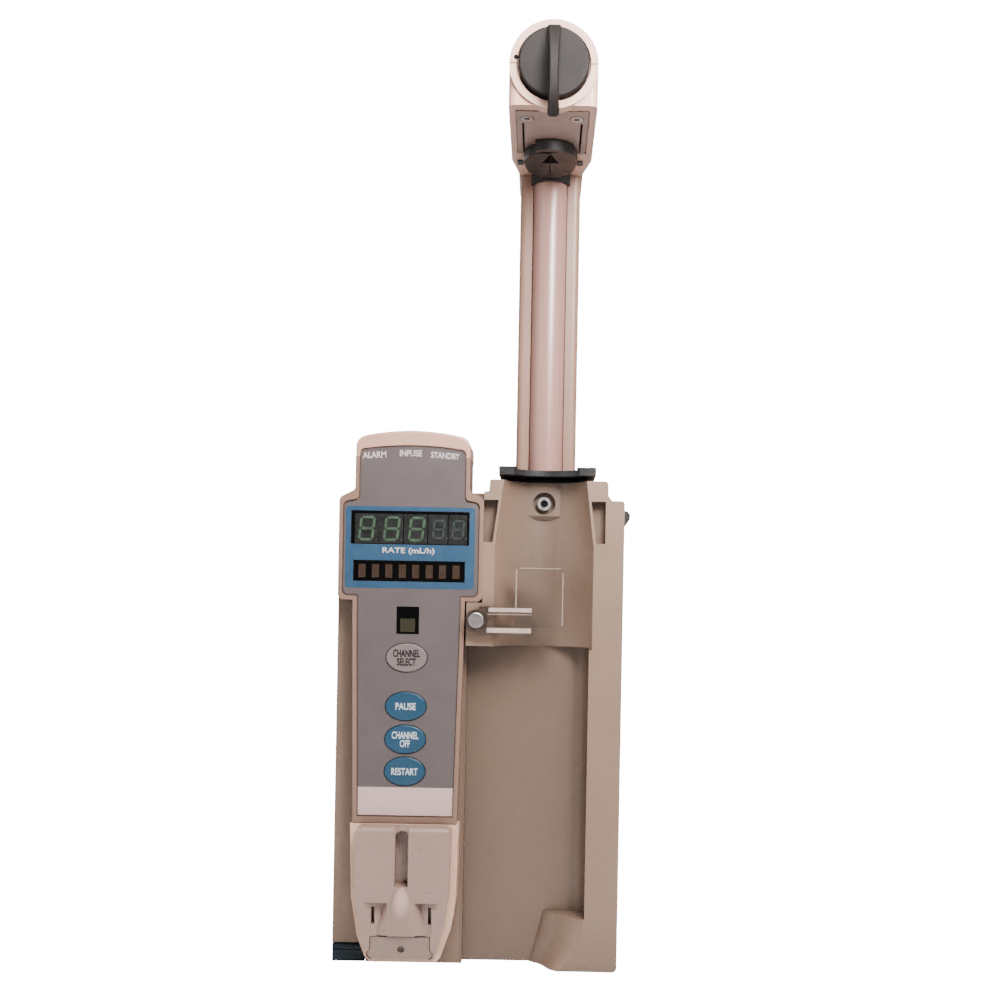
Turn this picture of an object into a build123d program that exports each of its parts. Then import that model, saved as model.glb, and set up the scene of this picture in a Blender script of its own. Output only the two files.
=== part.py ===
from build123d import *
import os

# A bedside syringe pump module, in millimetres.
# +Z is up, the front faces -Y and X runs to the right of somebody facing the front.
# The origin is on the flat base, midway in depth and 60 from the right side.

# ---------------------------------------------------------------- driving dimensions
CASE_LEFT_X = -61.4
CASE_RIGHT_X = 60.0
FRONT_Y = -70.0            # front of the bezel lip, the cradle and the right-hand rim
REAR_Y = 70.0
SPLIT_Y = 20.0             # joint between the front and rear casings
LEFT_FRONT_Y = -61.0       # front of the casing behind the display bezel
WALL = 2.5
FIT = 0.05                 # radial clearance of a running fit
GAP = 0.3                  # clearance between bodies that move past each other

CRADLE_TOP_Z = 206.6
LEFT_TOP_Z = 201.5
RIGHT_TOP_Z = 198.4
RECESS_TOP_Z = 136.4       # underside of the cradle
RECESS_BACK_Y = -56.0
RECESS_LEFT_X = -5.9
RECESS_RIGHT_X = 46.0
CAVITY_FRONT_Y = RECESS_BACK_Y + WALL

COLUMN_X = 26.4            # centre line of the column, trough, knob and drive
TROUGH_DEPTH = 13.0
TROUGH_HALF = 20.8
TROUGH_TOP_HALF = 17.3
TROUGH_NECK_Z = 178.5

TUBE_Y = -33.4
TUBE_RADIUS = 7.6
COLUMN_HALF = 13.5
COLUMN_FRONT_Y = -35.0
COLUMN_BACK_Y = -9.0
COLUMN_FOOT_Z = 158.0

HEAD_Z = 348.0             # underside of the drive head
SEAM_Z = 364.0             # joint between the two halves of the drive head
KNOB_X = 26.6
KNOB_Z = 363.7
HEAD_ARCH_R = 17.3
HEAD_FRONT_Y = -108.0
HEAD_BACK_Y = -5.0

SCREW_Y = 8.0              # lead screw and guide rods
SCREW_RADIUS = 4.0
ROD_SPACING = 15.0
ROD_RADIUS = 3.0
GEAR_MODULE = 0.8
PINION_TEETH = 12
GEAR_TEETH = 36
GEAR_CENTRES = GEAR_MODULE * (PINION_TEETH + GEAR_TEETH) / 2
GEAR_LOW_Z = 6.0
GEAR_HIGH_Z = 12.0

BEZEL_WALL = 2.0
LABEL_BACK_Y = -68.9
LABEL_THICK = 0.5
BOARD_FRONT_Y = -63.2
BOARD_THICK = 1.6
KEY_X = -30.7
KEY_HALF_WIDTH = 8.6
KEY_HALF_HEIGHT = 6.0
KEY_HEIGHTS = {"key_select": 130.9, "key_pause": 110.4, "key_off": 96.5, "key_restart": 83.0}

CLAMP_X = -1.6
CLAMP_Z = 147.3
CLAMP_SHAFT_RADIUS = 2.9
CLAMP_BACK_Y = -70.4
CLAMP_FRONT_Y = -73.6

FINGER_PIVOT_OFFSET = 7.1  # of each gripper finger from the head's centre line
FINGER_PIVOT_Y = -53.7
GRIPPER_X = 26.0
FINGER_LOW_Z = 343.0
FINGER_HIGH_Z = 347.2

STEM_X_OFFSET = 16.5       # flange gripper stems
STEM_Y = -49.0


# ---------------------------------------------------------------- helpers
def block(x0, x1, y0, y1, z0, z1):
    """A box given by its two corners."""
    return Pos((x0 + x1) / 2, (y0 + y1) / 2, (z0 + z1) / 2) * Box(x1 - x0, y1 - y0, z1 - z0)


def upright(x, y, radius, z0, z1):
    """A cylinder standing along Z."""
    return Pos(x, y, (z0 + z1) / 2) * Cylinder(radius, z1 - z0)


def along_y(x, z, radius, y0, y1):
    """A cylinder lying along Y."""
    return Pos(x, (y0 + y1) / 2, z) * Rot(90, 0, 0) * Cylinder(radius, y1 - y0)


def along_x(y, z, radius, x0, x1):
    """A cylinder lying along X."""
    return Pos((x0 + x1) / 2, y, z) * Rot(0, 90, 0) * Cylinder(radius, x1 - x0)


def outline(points, radius=0.0):
    """A flat face inside a closed run of points, with rounded corners."""
    return make_face(FilletPolyline(*points, radius=radius, close=True))


def from_front(face, y0, y1):
    """Extrude a face drawn in X and Z through the depth from y0 back to y1."""
    return extrude(Plane((0, y1, 0), x_dir=(1, 0, 0), z_dir=(0, -1, 0)) * face, amount=y1 - y0)


def from_side(face, x0, x1):
    """Extrude a face drawn in Y and Z across the width from x0 to x1."""
    return extrude(Plane((x0, 0, 0), x_dir=(0, 1, 0), z_dir=(1, 0, 0)) * face, amount=x1 - x0)


def from_above(face, z0, z1):
    """Extrude a face drawn in X and Y up from z0 to z1."""
    return extrude(Pos(0, 0, z0) * face, amount=z1 - z0)


def mirrored(x, centre):
    """The X position on the other side of a centre line."""
    return 2 * centre - x


def sleeve_z(x, y, inner, outer, z0, z1):
    """A ring or bush standing along Z."""
    return upright(x, y, outer, z0, z1) - upright(x, y, inner, z0 - 1, z1 + 1)


def sleeve_y(x, z, inner, outer, y0, y1):
    """A ring or bush lying along Y."""
    return along_y(x, z, outer, y0, y1) - along_y(x, z, inner, y0 - 1, y1 + 1)


def key_face(z, grow=0.0):
    """The oval outline of a key, drawn in X and Z."""
    return Pos(KEY_X, z) * Ellipse(KEY_HALF_WIDTH + grow, KEY_HALF_HEIGHT + grow)


# ---------------------------------------------------------------- casing
def case_face(inset=0.0):
    """The casing's outline from the front: low left shoulder, raised cradle, right shoulder."""
    left = CASE_LEFT_X + inset
    right = CASE_RIGHT_X - inset
    points = [
        (left, inset),
        (right, inset),
        (right, RIGHT_TOP_Z - inset),
        (54.6 - inset, RIGHT_TOP_Z - inset),
        (53.1 - inset, RIGHT_TOP_Z + 2.1 - inset),
        (52.9 - inset, CRADLE_TOP_Z - inset),
        (3.0 + inset, CRADLE_TOP_Z - inset),
        (2.8 + inset, LEFT_TOP_Z - inset),
        (-53.5 + inset * 0.4, LEFT_TOP_Z - inset),
        (left, 197.2 - inset * 0.4),
    ]
    if inset:
        return outline(points)
    return outline(points, [2, 2, 1.5, 1, 1, 1.5, 1, 0.8, 2, 2])


def trough_face(half):
    """Plan section of the barrel trough: a circular arc cut in from the front plane."""
    left = (COLUMN_X - half, FRONT_Y)
    right = (COLUMN_X + half, FRONT_Y)
    arc = ThreePointArc(left, (COLUMN_X, FRONT_Y + TROUGH_DEPTH), right)
    front = Polyline(right, (COLUMN_X + half, FRONT_Y - 3), (COLUMN_X - half, FRONT_Y - 3), left)
    return make_face(arc.edges() + front.edges())


def trough():
    """The barrel trough: a straight arc below, narrowing towards the top."""
    straight = from_above(trough_face(TROUGH_HALF), RECESS_TOP_Z - 1, TROUGH_NECK_Z)
    low = Pos(0, 0, TROUGH_NECK_Z) * trough_face(TROUGH_HALF)
    high = Pos(0, 0, CRADLE_TOP_Z + 1) * trough_face(TROUGH_TOP_HALF)
    channel = upright(COLUMN_X - 0.2, -70.5, 14.0, RECESS_TOP_Z - 1, 191.4)
    return straight + loft([low.face(), high.face()], ruled=True) + channel


def screw_pad():
    """A flat pad across the bottom of the trough that the cradle screw goes through."""
    side = [(-58.4, CRADLE_TOP_Z), (-58.4, 192.4), (-56.9, 190.6), (RECESS_BACK_Y, 190.6), (RECESS_BACK_Y, CRADLE_TOP_Z)]
    return from_side(outline(side), 19.2, 33.1)


def trough_pockets():
    """Moulded pockets each side of the trough's narrow end."""
    left = [(-0.2, 180.2), (4.6, 180.2), (6.9, 198.0), (-0.2, 198.0)]
    right = [(48.2, 180.2), (52.0, 180.2), (52.0, 198.0), (45.9, 198.0)]
    depth = FRONT_Y + 4.5
    pockets = from_front(outline(left, 0.4), FRONT_Y - 1, depth)
    return pockets + from_front(outline(right, 0.4), FRONT_Y - 1, depth)


def recess():
    """The tall open recess under the cradle, rounded where its right wall meets the back."""
    corners = [
        (RECESS_LEFT_X, FRONT_Y - 1),
        (RECESS_RIGHT_X, FRONT_Y - 1),
        (RECESS_RIGHT_X, RECESS_BACK_Y),
        (RECESS_LEFT_X, RECESS_BACK_Y),
    ]
    return from_above(outline(corners, [0, 0, 5.0, 0]), -1, RECESS_TOP_Z)


def gusset_section(z, curve):
    """Plan section of the corner block: a curve from the back wall out to the front."""
    back = RECESS_BACK_Y + 1
    right = RECESS_RIGHT_X + 1
    path = [(curve[0][0] - 0.3, back)] + curve
    rest = Polyline(path[-1], (right, FRONT_Y), (right, back), path[0])
    return Pos(0, 0, z) * make_face(Spline(*path).edges() + rest.edges())


def recess_gusset():
    """The curved corner block at the bottom right of the recess."""
    low = gusset_section(0, [(22.9, RECESS_BACK_Y), (27.1, -60.0), (31.3, -67.0), (35.2, FRONT_Y)])
    middle = gusset_section(11.0, [(25.9, RECESS_BACK_Y), (31.6, -60.6), (38.2, -66.6), (43.4, FRONT_Y)])
    high = gusset_section(22.0, [(28.6, RECESS_BACK_Y), (34.0, -60.7), (39.4, -65.3), (45.0, FRONT_Y)])
    return loft([low.face(), middle.face(), high.face()])


def front_cavity():
    """The room inside the front casing."""
    behind = SPLIT_Y + 1
    main = block(-58.9, 57.5, CAVITY_FRONT_Y, behind, WALL, 195.6)
    cradle = block(5.5, 50.4, CAVITY_FRONT_Y, behind, 195, CRADLE_TOP_Z - WALL)
    left_top = block(-51.0, 1.0, CAVITY_FRONT_Y, behind, 195, LEFT_TOP_Z - WALL)
    left_front = block(-58.9, -8.4, LEFT_FRONT_Y + WALL, CAVITY_FRONT_Y + 1, WALL, 195.6)
    rim = block(48.5, 57.5, FRONT_Y + WALL, CAVITY_FRONT_Y + 1, WALL, 178)
    return main + cradle + left_top + left_front + rim


def latch_housing():
    """Inner walls that close the casing around the release latch's pocket."""
    top = block(-59.0, -44.6, LEFT_FRONT_Y + 1, -33.5, 8.1, 10.1)
    side = block(-47.0, -44.6, LEFT_FRONT_Y + 1, -33.5, 2.4, 10.1)
    end = block(-59.0, -44.6, -35.6, -33.5, 2.4, 10.1)
    return top + side + end


def front_case():
    behind_bezel = from_front(case_face(), LEFT_FRONT_Y, SPLIT_Y)
    raised = from_front(case_face(), FRONT_Y, LEFT_FRONT_Y)
    raised -= block(-63, RECESS_LEFT_X, -71, LEFT_FRONT_Y, -1, 230)
    body = behind_bezel + raised
    body -= block(-7, 0.7, -71, LEFT_FRONT_Y, 154.6, 230)
    body -= trough()
    body += screw_pad()
    body -= trough_pockets()
    body -= recess()
    body += recess_gusset()
    body -= front_cavity()
    body += latch_housing()
    body -= block(-50.0, -11.0, LEFT_FRONT_Y - 1, LEFT_FRONT_Y + WALL + 0.5, 70.0, 190.0)
    body -= block(-37.0, -23.0, LEFT_FRONT_Y - 1, LEFT_FRONT_Y + WALL + 0.5, 22.0, 52.0)
    body -= block(-62.5, -47.0, LEFT_FRONT_Y - 1, -35.6, -1, 8.1)
    body -= column_section(0.4, 202, 208)
    body -= along_y(CLAMP_X, CLAMP_Z, CLAMP_SHAFT_RADIUS + FIT, -72, CAVITY_FRONT_Y + 1)
    body -= along_y(26.1, 197.7, 4.8, -59, -55.2)
    body -= along_y(26.1, 197.7, 2.1, -56, -50)
    for side in (-1, 1):
        body -= upright(COLUMN_X + side * STEM_X_OFFSET, STEM_Y, 2.6, 203, 208)
    body -= block(57.0, 61, -42.0, 8.0, 184.0, 197.0)
    body -= block(57.0, 61, -15.0, 15.0, 95.0, 135.0)
    body -= block(-63, -58.4, -15.0, 15.0, 95.0, 135.0)
    body -= block(-63, -58.4, -44.0, 10.0, 183.0, 195.4)
    return body


SCREW_X = 51.0
SCREW_HEIGHTS = (8.5, 184.0)


def rear_case():
    body = from_front(case_face(), SPLIT_Y, REAR_Y)
    back_edges = body.faces().sort_by(Axis.Y)[-1].edges()
    body = fillet(back_edges, 1.4)
    body -= from_front(case_face(WALL), SPLIT_Y - 1, REAR_Y - WALL)
    for x in (-SCREW_X, SCREW_X):
        for z in SCREW_HEIGHTS:
            body += along_y(x, z, 5.0, SPLIT_Y + 4, REAR_Y - 1)
            body -= along_y(x, z, 1.7, SPLIT_Y, REAR_Y + 1)
            body -= along_y(x, z, 3.4, REAR_Y - 4, REAR_Y + 1)
    for row in range(6):
        slot = SlotOverall(30, 2.0)
        body -= from_front(Pos(20, 52 + 5.0 * row) * slot, REAR_Y - 4, REAR_Y + 1)
    body -= block(-40.0, 40.0, REAR_Y - 0.6, REAR_Y + 1, 100.0, 150.0)
    return body


def rear_label():
    return from_front(Pos(0, 125.0) * RectangleRounded(79.4, 49.4, 2.0), REAR_Y - 0.6, REAR_Y - 0.1)


def cradle_screw():
    head = along_y(26.1, 197.7, 2.9, -57.6, -55.2) - along_y(26.1, 197.7, 1.6, -58, -55.7)
    return head + along_y(26.1, 197.7, 2.0, -55.2, -50.5)


def case_screws():
    """Four screws that close the casing from behind, and the socket screw in the trough."""
    screws = [cradle_screw()]
    for x in (-SCREW_X, SCREW_X):
        for z in SCREW_HEIGHTS:
            head = along_y(x, z, 3.1, REAR_Y - 4, REAR_Y - 1.4) - along_y(x, z, 1.4, REAR_Y - 3, REAR_Y)
            screws.append(head + along_y(x, z, 1.5, REAR_Y - 44, REAR_Y - 4))
    return Compound(children=screws)


# ---------------------------------------------------------------- display and keys
def dome_arc_top(x_left, x_right, z_side, z_top, z_base):
    """A face with straight sides and an arched top, drawn in X and Z."""
    middle = (x_left + x_right) / 2
    arch = ThreePointArc((x_left, z_side), (middle, z_top), (x_right, z_side))
    sides = Polyline((x_right, z_side), (x_right, z_base), (x_left, z_base), (x_left, z_side))
    return make_face(arch.edges() + sides.edges())


DOME_LEFT_X = -53.6
DOME_RIGHT_X = -5.3
DOME_SEAM_Z = 215.3
DOME_SIDE_Z = 223.4
DOME_CORNER = 5.0
DOME_TOP_Z = 226.6


def bezel_face(inset=0.0):
    """The bezel's outline: arched head, wide display section and narrow key section."""
    wide = [
        (-60.2 + inset, 155.0 + inset),
        (0.7 - inset, 155.0 + inset),
        (0.7 - inset, 198.3 - inset),
        (DOME_RIGHT_X - inset, 201.4 - inset * 2.2),
        (DOME_LEFT_X + inset, 201.4 - inset * 2.2),
        (-60.2 + inset, 198.0 - inset),
    ]
    narrow = [
        (-52.2 + inset, 61.3 + inset * 1.5),
        (-8.4 - inset, 61.3 + inset * 1.5),
        (-6.6 - inset, 150.0),
        (-6.6 - inset, 160.0),
        (-53.8 + inset, 160.0),
        (-53.8 + inset, 150.0),
    ]
    head = Polyline(
        (DOME_LEFT_X + inset, 190.0),
        (DOME_RIGHT_X - inset, 190.0),
        (DOME_RIGHT_X - inset, DOME_SEAM_Z),
        (DOME_LEFT_X + inset, DOME_SEAM_Z),
        close=True,
    )
    face = outline(wide, [2.5, 2.5, 2.5, 0, 0, 2.5]) + outline(narrow) + make_face(head)
    joint = 201.4 - inset * 2.2
    return fillet(face.vertices().filter_by(lambda v: abs(v.Y - joint) < 0.01), 1.8)


LIP = 1.7


def label_face(shrink=0.0):
    """The front label's outline, a lip's width inside the bezel and up to the dome's arch."""
    edge = LIP + shrink
    arch = dome_arc_top(DOME_LEFT_X + edge, DOME_RIGHT_X - edge, 218.5 - shrink, 220.4 - shrink, 205.0)
    arch = fillet(arch.vertices().group_by(Axis.Y)[-1], 2.2)
    return bezel_face(edge) + arch


RATE_WINDOW = (-55.1, -5.3, 178.5, 192.6)
MESSAGE_WINDOW = (-53.9, -6.9, 162.9, 171.7)
CHANNEL_WINDOW = (-35.3, -25.8, 140.8, 152.4)


def window_block(window, grow, y0, y1):
    """A box over a display window, drawn through part of the bezel."""
    left, right, low, high = window
    return block(left - grow, right + grow, y0, y1, low - grow, high + grow)


def display_bezel():
    body = from_front(bezel_face(), FRONT_Y, LEFT_FRONT_Y)
    body -= from_front(label_face(), FRONT_Y - 1, LABEL_BACK_Y)
    body -= from_front(bezel_face(2.2), LABEL_BACK_Y + BEZEL_WALL, LEFT_FRONT_Y + 1)
    for window in (RATE_WINDOW, MESSAGE_WINDOW, CHANNEL_WINDOW):
        body -= window_block(window, 0.0, FRONT_Y, LEFT_FRONT_Y)
    for z in KEY_HEIGHTS.values():
        body -= from_front(key_face(z, GAP), FRONT_Y, LEFT_FRONT_Y)
    back = block(DOME_LEFT_X + 0.2, DOME_RIGHT_X - 0.2, LEFT_FRONT_Y, -46.0, LEFT_TOP_Z, DOME_SEAM_Z)
    inside_left = DOME_LEFT_X + 2.2
    inside_right = DOME_RIGHT_X - 2.2
    back -= block(inside_left, inside_right, LEFT_FRONT_Y - 1, -48.0, LEFT_TOP_Z - 1, DOME_SEAM_Z + 1)
    return body + back


def alarm_dome():
    """Light-spreading cap over the alarm lamps, visible from both sides of the bed."""
    profile = dome_arc_top(DOME_LEFT_X, DOME_RIGHT_X, DOME_SIDE_Z, DOME_TOP_Z, DOME_SEAM_Z)
    profile = fillet(profile.vertices().group_by(Axis.Y)[-1], DOME_CORNER)
    outer = from_front(profile, FRONT_Y, -46.0)
    left = DOME_LEFT_X + 2
    right = DOME_RIGHT_X - 2
    inner = dome_arc_top(left, right, DOME_SIDE_Z - 3.0, DOME_TOP_Z - 2.4, DOME_SEAM_Z - 1)
    rim = outer.faces().sort_by(Axis.Y)[0].edges().sort_by(Axis.Z)[-1]
    outer = fillet(rim, 1.2)
    outer -= from_front(inner, LABEL_BACK_Y + 1.6, -48.0)
    outer -= from_front(label_face(), FRONT_Y - 1, LABEL_BACK_Y)
    return outer


def front_label():
    """Thin printed label over the whole bezel, cut out for the windows and the keys."""
    front = LABEL_BACK_Y - LABEL_THICK
    body = from_front(label_face(0.4), front, LABEL_BACK_Y)
    for window in (RATE_WINDOW, MESSAGE_WINDOW, CHANNEL_WINDOW):
        body -= window_block(window, 0.0, FRONT_Y, LEFT_FRONT_Y)
    for z in KEY_HEIGHTS.values():
        body -= from_front(key_face(z, GAP), FRONT_Y, LEFT_FRONT_Y)
    return body


def window_pane(window):
    return window_block(window, -0.05, LABEL_BACK_Y - 0.4, LABEL_BACK_Y + 1.0)


MODULE_FRONT_Y = LABEL_BACK_Y + BEZEL_WALL + 0.2


def display_modules():
    """Five rate digits, two four-character message modules and the channel letter."""
    modules = []
    x = RATE_WINDOW[0] + 0.3
    for width in (10.6, 10.6, 10.6, 8.6, 8.6):
        modules.append(block(x, x + width - 0.2, MODULE_FRONT_Y, BOARD_FRONT_Y, 178.8, 192.3))
        x += width
    modules.append(block(-53.6, -30.6, MODULE_FRONT_Y, BOARD_FRONT_Y, 163.2, 171.4))
    modules.append(block(-30.2, -7.2, MODULE_FRONT_Y, BOARD_FRONT_Y, 163.2, 171.4))
    modules.append(block(-35.0, -26.1, MODULE_FRONT_Y, BOARD_FRONT_Y, 141.1, 152.1))
    return Compound(children=modules)


def alarm_lamps():
    """Three lamps under the dome, on their own little board."""
    board = block(-50.0, -9.0, -60.0, -58.4, 203.0, 214.5)
    lamps = board
    for x in (-44.0, -29.5, -15.0):
        lamps += block(x - 1.8, x + 1.8, -62.5, -60.0, 210.0, 213.5)
    return lamps


def display_board():
    """Circuit board behind the bezel, with a small switch soldered on behind each key."""
    board = block(-57.4, -2.2, BOARD_FRONT_Y, BOARD_FRONT_Y + BOARD_THICK, 158.0, 195.0)
    board += block(-48.6, -11.4, BOARD_FRONT_Y, BOARD_FRONT_Y + BOARD_THICK, 71.0, 160.0)
    for z in KEY_HEIGHTS.values():
        board += along_y(KEY_X, z, 3.0, BOARD_FRONT_Y - 1.5, BOARD_FRONT_Y)
    return board


def key(z):
    """An oval key whose hidden flange holds it behind the bezel."""
    cap = from_front(key_face(z), -70.0, LABEL_BACK_Y + BEZEL_WALL)
    cap = fillet(cap.faces().sort_by(Axis.Y)[0].edges(), 0.5)
    flange_y = LABEL_BACK_Y + BEZEL_WALL + 0.05
    rim = Pos(KEY_X, z) * Ellipse(KEY_HALF_WIDTH + 1.2, KEY_HALF_HEIGHT + 0.4)
    flange = from_front(rim, flange_y, flange_y + 0.9)
    return cap + from_front(key_face(z), LABEL_BACK_Y + BEZEL_WALL - 0.1, flange_y + 0.1) + flange


def main_board():
    board = block(-49.0, 2.0, 6.0, 7.6, 40.0, 180.0)
    parts = block(-45, -25, 3.6, 6.0, 120, 140) + block(-20, -8, 4.2, 6.0, 150, 165)
    parts += block(-48, -38, 2.0, 6.0, 60, 85) + block(-30, -14, 4.0, 6.0, 90, 102)
    return board + parts


# ---------------------------------------------------------------- pressure transducer
def transducer_surround():
    """Raised frame that carries the pressure disc holder, tapering towards the base."""
    half = [
        (-53.2, 61.0),
        (-52.3, 30.7),
        (-49.7, 14.4),
        (-46.2, 5.0),
        (-43.9, 2.9),
        (-16.1, 2.9),
        (-14.3, 5.0),
        (-9.9, 17.6),
        (-8.2, 29.2),
        (-7.6, 61.0),
    ]
    body = from_front(outline(half, [0, 8, 8, 1, 1, 1, 1, 8, 8, 0]), FRONT_Y, LEFT_FRONT_Y)
    return body - block(-37.0, -23.0, FRONT_Y - 1, LEFT_FRONT_Y + 1, 22.0, 52.0)


HOLDER_X = -30.3
HOLDER_FRONT_Y = -78.0
TAB_X = -30.7
TAB_PIVOT_Y = -74.4
TAB_PIVOT_Z = 13.6
BELL_AXIS_Y = -73.0
BELL_SECTIONS = (               # height, half width, front
    (15.7, 12.2, -77.0),
    (18.3, 11.9, -77.4),
    (21.0, 10.2, -77.9),
    (24.0, 8.8, -78.4),
    (28.0, 8.0, -78.9),
    (31.5, 6.9, -79.1),
    (34.3, 4.8, -78.9),
    (36.3, 2.4, -78.2),
)


def holder_face():
    points = [
        (-50.0, 60.7),
        (-49.5, 32.8),
        (-47.7, 18.5),
        (-44.3, 5.6),
        (-16.4, 5.6),
        (-12.8, 18.5),
        (-10.8, 32.8),
        (-10.2, 60.7),
    ]
    return outline(points, [2.6, 10, 10, 1.5, 1.5, 10, 10, 2.6])


def holder_side(shift=0.0):
    """Side outline: rounded front edge at the top, lower front leaning back towards the base."""
    points = [
        (FRONT_Y, 4.0),
        (-75.4 + shift, 4.0),
        (HOLDER_FRONT_Y + shift, 33.0),
        (HOLDER_FRONT_Y + shift, 60.7),
        (FRONT_Y, 60.7),
    ]
    return outline(points, [0, 0, 12, 2.2, 0])


def bell():
    """Smooth bell-shaped boss that guides the tubing over the disc."""
    sections = []
    for z, half_width, front in BELL_SECTIONS:
        sections.append(Pos(HOLDER_X, BELL_AXIS_Y, z) * Ellipse(half_width, BELL_AXIS_Y - front).face())
    return loft(sections) - block(-60, 0, -72.4, -60, 10, 40)


def ramp_pocket(z0, z1, outer_x):
    """Pockets beside the bell whose floors slope down towards it, open as far out as outer_x."""
    left = outline([(-47.0, -78.2), (-47.0, -80), (-36, -80), (-36, -74.3), (-38.4, -74.3)])
    pocket = from_above(left, z0, z1) - block(-60, outer_x, -81, -70, z0 - 1, z1 + 1)
    return pocket + mirror(pocket, Plane.YZ.offset(HOLDER_X))


def tube_groove():
    """Upright groove for the tubing: round-ended, and open at the top over a shallow lip."""
    groove = along_y(-30.4, 56.6, 2.8, -80, -71.0) + block(-33.2, -27.6, -80, -71.0, 36.3, 56.6)
    return groove + block(-33.2, -27.6, -80, -76.2, 56, 62) + along_y(-29.1, 36.9, 0.6, -72, -69)


def tab_face(grow=0.0):
    """Outline of the release tab: straight between the rails and flared under them."""
    right = [(12.3, 15.0), (12.3, 10.0), (13.5, 8.6), (13.5, 5.9)]
    points = [(TAB_X + x + grow, z) for x, z in right] + [(TAB_X - x - grow, z) for x, z in right[::-1]]
    points = [(x, z + grow if z > 12 else z - grow if z < 7 else z) for x, z in points]
    return outline(points, [0, 0.6, 0.5, 2.0, 2.0, 0.5, 0.6, 0])


def pressure_disc_holder():
    """Block that holds the tubing set's pressure disc: open groove above, bell and rails below."""
    body = from_front(holder_face(), -80, FRONT_Y) & from_side(holder_side(), -56, -6)
    body -= tube_groove()
    body -= ramp_pocket(27.2, 29.6, -46.4) + ramp_pocket(15.3, 27.3, -43.0)
    body += bell()
    for x in (-42.1, mirrored(-42.1, HOLDER_X)):
        body -= block(x - 0.7, x + 0.7, -80, -71.2, 20.4, 27.6)
    body -= from_front(tab_face(0.3), -80, -71.9)
    return body - along_x(TAB_PIVOT_Y, TAB_PIVOT_Z, 0.85, TAB_X - 13.4, TAB_X + 13.4)


def disc_release_tab():
    """Push tab under the bell that lets the disc go, turning on the pin near its top."""
    body = from_front(tab_face(), -80, -73.0) & from_side(holder_side(0.5), -56, -6)
    body -= along_y(HOLDER_X, 9.8, 1.5, -80, -73.6)
    return body + along_x(TAB_PIVOT_Y, TAB_PIVOT_Z, 0.8, TAB_X - 13.2, TAB_X + 13.2)


def pressure_sensor():
    """Button sensor that the disc's diaphragm rests on, with its backing plate."""
    plate_y = LEFT_FRONT_Y + WALL + 0.6
    body = block(-38.5, -21.5, plate_y, plate_y + 1.6, 20.0, 54.0)
    return body + along_y(HOLDER_X, 44.0, 6.0, -69.8, plate_y)


# ---------------------------------------------------------------- barrel clamp and flange gripper
def clamp_shaft():
    """Sliding pivot of the barrel clamp, with a cap in front and a collar behind."""
    body = along_y(CLAMP_X, CLAMP_Z, CLAMP_SHAFT_RADIUS, CLAMP_FRONT_Y - 0.6, -13.0)
    cap = along_y(CLAMP_X, CLAMP_Z, 3.3, CLAMP_FRONT_Y - 1.6, CLAMP_FRONT_Y - 0.5)
    cap = fillet(cap.faces().sort_by(Axis.Y)[0].edges(), 0.6)
    return body + cap + along_y(CLAMP_X, CLAMP_Z, 5.2, -16.0, -13.0)


def clamp_spring():
    """Coil spring that draws the clamp back, as the sleeve it fills."""
    return sleeve_y(CLAMP_X, CLAMP_Z, 3.1, 4.6, CAVITY_FRONT_Y + 0.1, -16.2)


def barrel_clamp():
    """Clear moulded arm: a hub, two bars and the plate that presses on the barrel."""
    hub = sleeve_y(CLAMP_X, CLAMP_Z, CLAMP_SHAFT_RADIUS + FIT, 4.7, CLAMP_FRONT_Y - 0.4, CLAMP_BACK_Y)
    upper = outline([(0.8, 149.6), (22.2, 149.4), (22.2, 153.7), (-0.5, 153.4)], [0, 1.2, 1.2, 0])
    lower = outline([(-0.5, 141.2), (22.0, 141.7), (22.0, 145.0), (0.8, 145.2)], [0, 1.2, 1.2, 0])
    bars = from_front(upper, CLAMP_FRONT_Y, CLAMP_BACK_Y) + from_front(lower, CLAMP_FRONT_Y, CLAMP_BACK_Y)
    plate = outline([(14.6, 143.7), (34.8, 143.7), (34.8, 169.7), (14.6, 169.7)], [2, 4, 2, 1])
    body = hub + bars + from_front(plate, CLAMP_FRONT_Y + 0.8, CLAMP_BACK_Y)
    bore = along_y(CLAMP_X, CLAMP_Z, CLAMP_SHAFT_RADIUS + FIT, CLAMP_FRONT_Y - 2, CLAMP_BACK_Y + 1)
    return body - bore


def flange_gripper():
    """Sprung jaw that holds the barrel's flange down on top of the cradle."""
    left, right = 6.7, 47.7
    front = FRONT_Y
    lug_left = (13.1, front)
    lug_right = (40.8, front)
    plan = [
        Line(lug_right, (right, front)),
        Line((right, front), (right, -45.5)),
        Line((right, -45.5), (left, -45.5)),
        Line((left, -45.5), (left, front)),
        Line((left, front), lug_left),
        ThreePointArc(lug_left, (COLUMN_X, front + 5.5), lug_right),
    ]
    body = from_above(make_face(plan), 208.8, 212.3)
    dip = outline([(14.6, -71), (39.4, -71), (41.0, -45), (12.8, -45)])
    body -= from_above(dip, 211.2, 213)
    body += block(9.5, 43.3, -48.4, -45.5, CRADLE_TOP_Z + GAP, 209.0)
    for side in (-1, 1):
        x = COLUMN_X + side * STEM_X_OFFSET
        body += upright(x, STEM_Y, 2.5, 186.0, 210.0)
        body += upright(x, STEM_Y, 4.2, 184.5, 186.0)
    return body


def gripper_springs():
    """Coil springs on the flange gripper's stems, as the sleeves they fill."""
    springs = []
    for side in (-1, 1):
        x = COLUMN_X + side * STEM_X_OFFSET
        springs.append(sleeve_z(x, STEM_Y, 2.7, 4.0, 186.1, CRADLE_TOP_Z - WALL - 0.1))
    return Compound(children=springs)


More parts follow.
